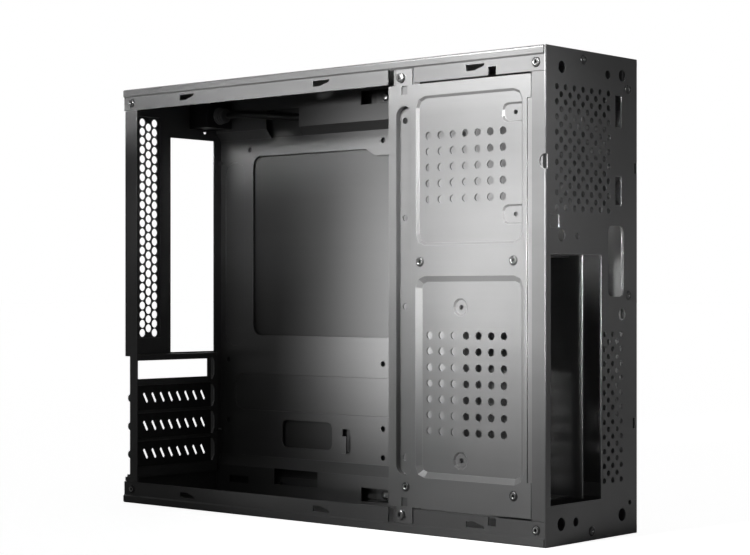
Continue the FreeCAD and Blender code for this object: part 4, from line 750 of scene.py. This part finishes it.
lead_mesh = merged_copy("power_lead")
clear_flat_faces(lead_mesh)
lead = shown("power_lead_round", kept("power_lead_round", lead_mesh))
lead.data.shade_smooth()
lead.data.materials.append(JACKET)
rounding = lead.modifiers.new("round", "SUBSURF")
rounding.levels = ROUNDING_LEVELS
rounding.render_levels = ROUNDING_LEVELS
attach(lead, "root")
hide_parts("power_lead")
print("lead faces before rounding:", len(lead.data.polygons))

# %% [markdown]
# ## Studio
# The case stands on a pale floor in front of a white backdrop. Enough light to make both white
# would wash out the dark steel. So world and floor are white only where the camera looks at
# them, and where a mirrored ray meets the side on which the backdrop stands. The rest of the
# room is dim, as in a studio, and the steel on the open side keeps its depth.

# %% The backdrop's mask
BACKDROP_SIDE = (-0.66, 0.75, 0)


def shown_backdrop(tree, backdrop_side):
    """One where a camera ray sees the surroundings, or a mirrored ray meets their far side."""
    path = tree.nodes.new("ShaderNodeLightPath")
    mirrored = math_node(tree, "MAXIMUM", path.outputs["Is Glossy Ray"],
                         path.outputs["Is Transmission Ray"])
    behind = math_node(tree, "MULTIPLY", mirrored, backdrop_side)
    return math_node(tree, "MAXIMUM", path.outputs["Is Camera Ray"], behind)


def far_side(tree, place, start, end):
    """Goes from zero to one along the direction in which the backdrop stands."""
    along = tree.nodes.new("ShaderNodeVectorMath")
    along.operation = "DOT_PRODUCT"
    along.inputs[1].default_value = BACKDROP_SIDE
    tree.links.new(place, along.inputs[0])
    ramp = tree.nodes.new("ShaderNodeMapRange")
    ramp.inputs["From Min"].default_value = start
    ramp.inputs["From Max"].default_value = end
    tree.links.new(along.outputs["Value"], ramp.inputs["Value"])
    return ramp.outputs["Result"]


print("the backdrop stands towards", BACKDROP_SIDE)

# %% World
ROOM_LIGHT, BACKDROP_LIGHT = 0.07, 1.0
WORLD_FADE = (0.32, 0.8)

world = bpy.data.worlds.new("studio")
bpy.context.scene.world = world
world.use_nodes = True
world_tree = world.node_tree
backdrop = world_tree.nodes["Background"]
world_place = world_tree.nodes.new("ShaderNodeTexCoord").outputs["Generated"]
world_mask = shown_backdrop(world_tree, far_side(world_tree, world_place, *WORLD_FADE))
level = world_tree.nodes.new("ShaderNodeMapRange")
level.inputs["To Min"].default_value = ROOM_LIGHT
level.inputs["To Max"].default_value = BACKDROP_LIGHT
world_tree.links.new(world_mask, level.inputs["Value"])
world_tree.links.new(level.outputs["Result"], backdrop.inputs["Strength"])
backdrop.inputs["Color"].default_value = grey(1)
print("world nodes:", len(world_tree.nodes))

# %% Floor
FLOOR_SIZE = 60.0
FLOOR_TONE, FLOOR_ROUGHNESS, FLOOR_SPECULAR = 0.8, 0.9, 0.1
FLOOR_GLOW = 0.93
FLOOR_FADE = (0.3, 1.0)

half = FLOOR_SIZE / 2
floor_data = bpy.data.meshes.new("floor")
floor_data.from_pydata([(-half, -half, 0), (half, -half, 0), (half, half, 0), (-half, half, 0)],
                       [], [(0, 1, 2, 3)])
floor = shown("floor", floor_data)
floor_material = bpy.data.materials.new("pale_floor")
floor_material.use_nodes = True
floor_tree = floor_material.node_tree
floor_shader = floor_tree.nodes["Principled BSDF"]
floor_shader.inputs["Base Color"].default_value = grey(FLOOR_TONE)
floor_shader.inputs["Roughness"].default_value = FLOOR_ROUGHNESS
floor_shader.inputs["Specular IOR Level"].default_value = FLOOR_SPECULAR
floor_shader.inputs["Emission Color"].default_value = grey(1)
floor_place = floor_tree.nodes.new("ShaderNodeTexCoord").outputs["Object"]
floor_mask = shown_backdrop(floor_tree, far_side(floor_tree, floor_place, *FLOOR_FADE))
glow = math_node(floor_tree, "MULTIPLY", floor_mask, FLOOR_GLOW)
floor_tree.links.new(glow, floor_shader.inputs["Emission Strength"])
floor_data.materials.append(floor_material)
floor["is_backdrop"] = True
print("floor nodes:", len(floor_tree.nodes))

# %% [markdown]
# ## Lamps
# The picture's light fades from the plate's top to its foot, and the deep inside stays dark. One
# big lamp would flood the inside. So six small soft boxes with narrow beams each light one part:
# a high key lamp for the plate's top, a fill for its lower half, a low beam that the tray and the
# far cover mirror, one for the tray's rear corner, a strip along the top edge and a fill for the
# front's flange.

# %% Lamps
def soft_lamp(name, place, target, width, height, watts, beam):
    """A rectangular soft box whose light stays within a beam of the given degrees."""
    lamp_data = bpy.data.lights.new(name, "AREA")
    lamp_data.shape = "RECTANGLE"
    lamp_data.size = width
    lamp_data.size_y = height
    lamp_data.energy = watts
    lamp_data.spread = math.radians(beam)
    lamp = shown(name, lamp_data)
    lamp.location = place
    aim = (Vector(target) - Vector(place)).to_track_quat("-Z", "Y")
    lamp.rotation_euler = aim.to_euler()
    print(name, "stands", round((Vector(target) - Vector(place)).length, 2), "m away")


soft_lamp("key", place=(-0.02, -0.75, 0.60), target=(0.155, -0.05, 0.218),
          width=0.26, height=0.20, watts=0.64, beam=28)
soft_lamp("plate_fill", place=(0.35, -0.95, 0.20), target=(0.150, -0.05, 0.165),
          width=0.08, height=0.10, watts=0.115, beam=12)
soft_lamp("tray_beam", place=(-0.62, -1.00, 0.15), target=(0.00, 0.05, 0.17),
          width=0.06, height=0.20, watts=0.040, beam=9)
soft_lamp("tray_corner", place=(-0.05, -1.00, 0.12), target=(-0.145, 0.027, 0.215),
          width=0.05, height=0.05, watts=0.006, beam=8)
soft_lamp("top_strip", place=(-0.01, -0.35, 0.36), target=(-0.01, -0.05, 0.292),
          width=0.50, height=0.03, watts=0.150, beam=14)
soft_lamp("front_fill", place=(0.95, -0.60, 0.42), target=(0.19, -0.085, 0.26),
          width=0.06, height=0.10, watts=0.034, beam=9)

# %% [markdown]
# ## Camera
# The camera stands level at half the case's height and looks at the front corner of the open
# side. Tilting it down would make the upright edges lean, so a small shift sets the case in the
# middle of the picture instead. Its lens is long, so that the near corner isn't drawn out.

# %% Camera
CAMERA_PLACE = Vector((0.8357, -0.9425, 0.1491))
CAMERA_HEADING = math.radians(48.80)
FOCAL_MM = 89.33
SENSOR_WIDTH_MM = 36.0
HORIZON_BELOW_MIDDLE = 18.5
PICTURE_WIDTH = 750

camera_data = bpy.data.cameras.new("camera")
camera_data.lens = FOCAL_MM
camera_data.sensor_width = SENSOR_WIDTH_MM
camera_data.shift_y = HORIZON_BELOW_MIDDLE / PICTURE_WIDTH
camera = shown("camera", camera_data)
forward = Vector((-math.cos(CAMERA_HEADING), math.sin(CAMERA_HEADING), 0))
camera.location = CAMERA_PLACE
camera.rotation_euler = forward.to_track_quat("-Z", "Y").to_euler()
bpy.context.scene.camera = camera
bpy.context.scene.view_settings.view_transform = "Standard"
print("camera shift:", round(camera_data.shift_y, 4))

# %% [markdown]
# ## The sizes
# Nothing in this lesson may change the case's real size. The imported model's box and the dressed
# one's are written side by side, so that they can be compared.

# %% Write the boxes and finish
bpy.context.view_layer.update()
visual_box = [list(corner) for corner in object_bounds()]
print("highest corner in the frame and in the scene:", cad_box[1], visual_box[1])
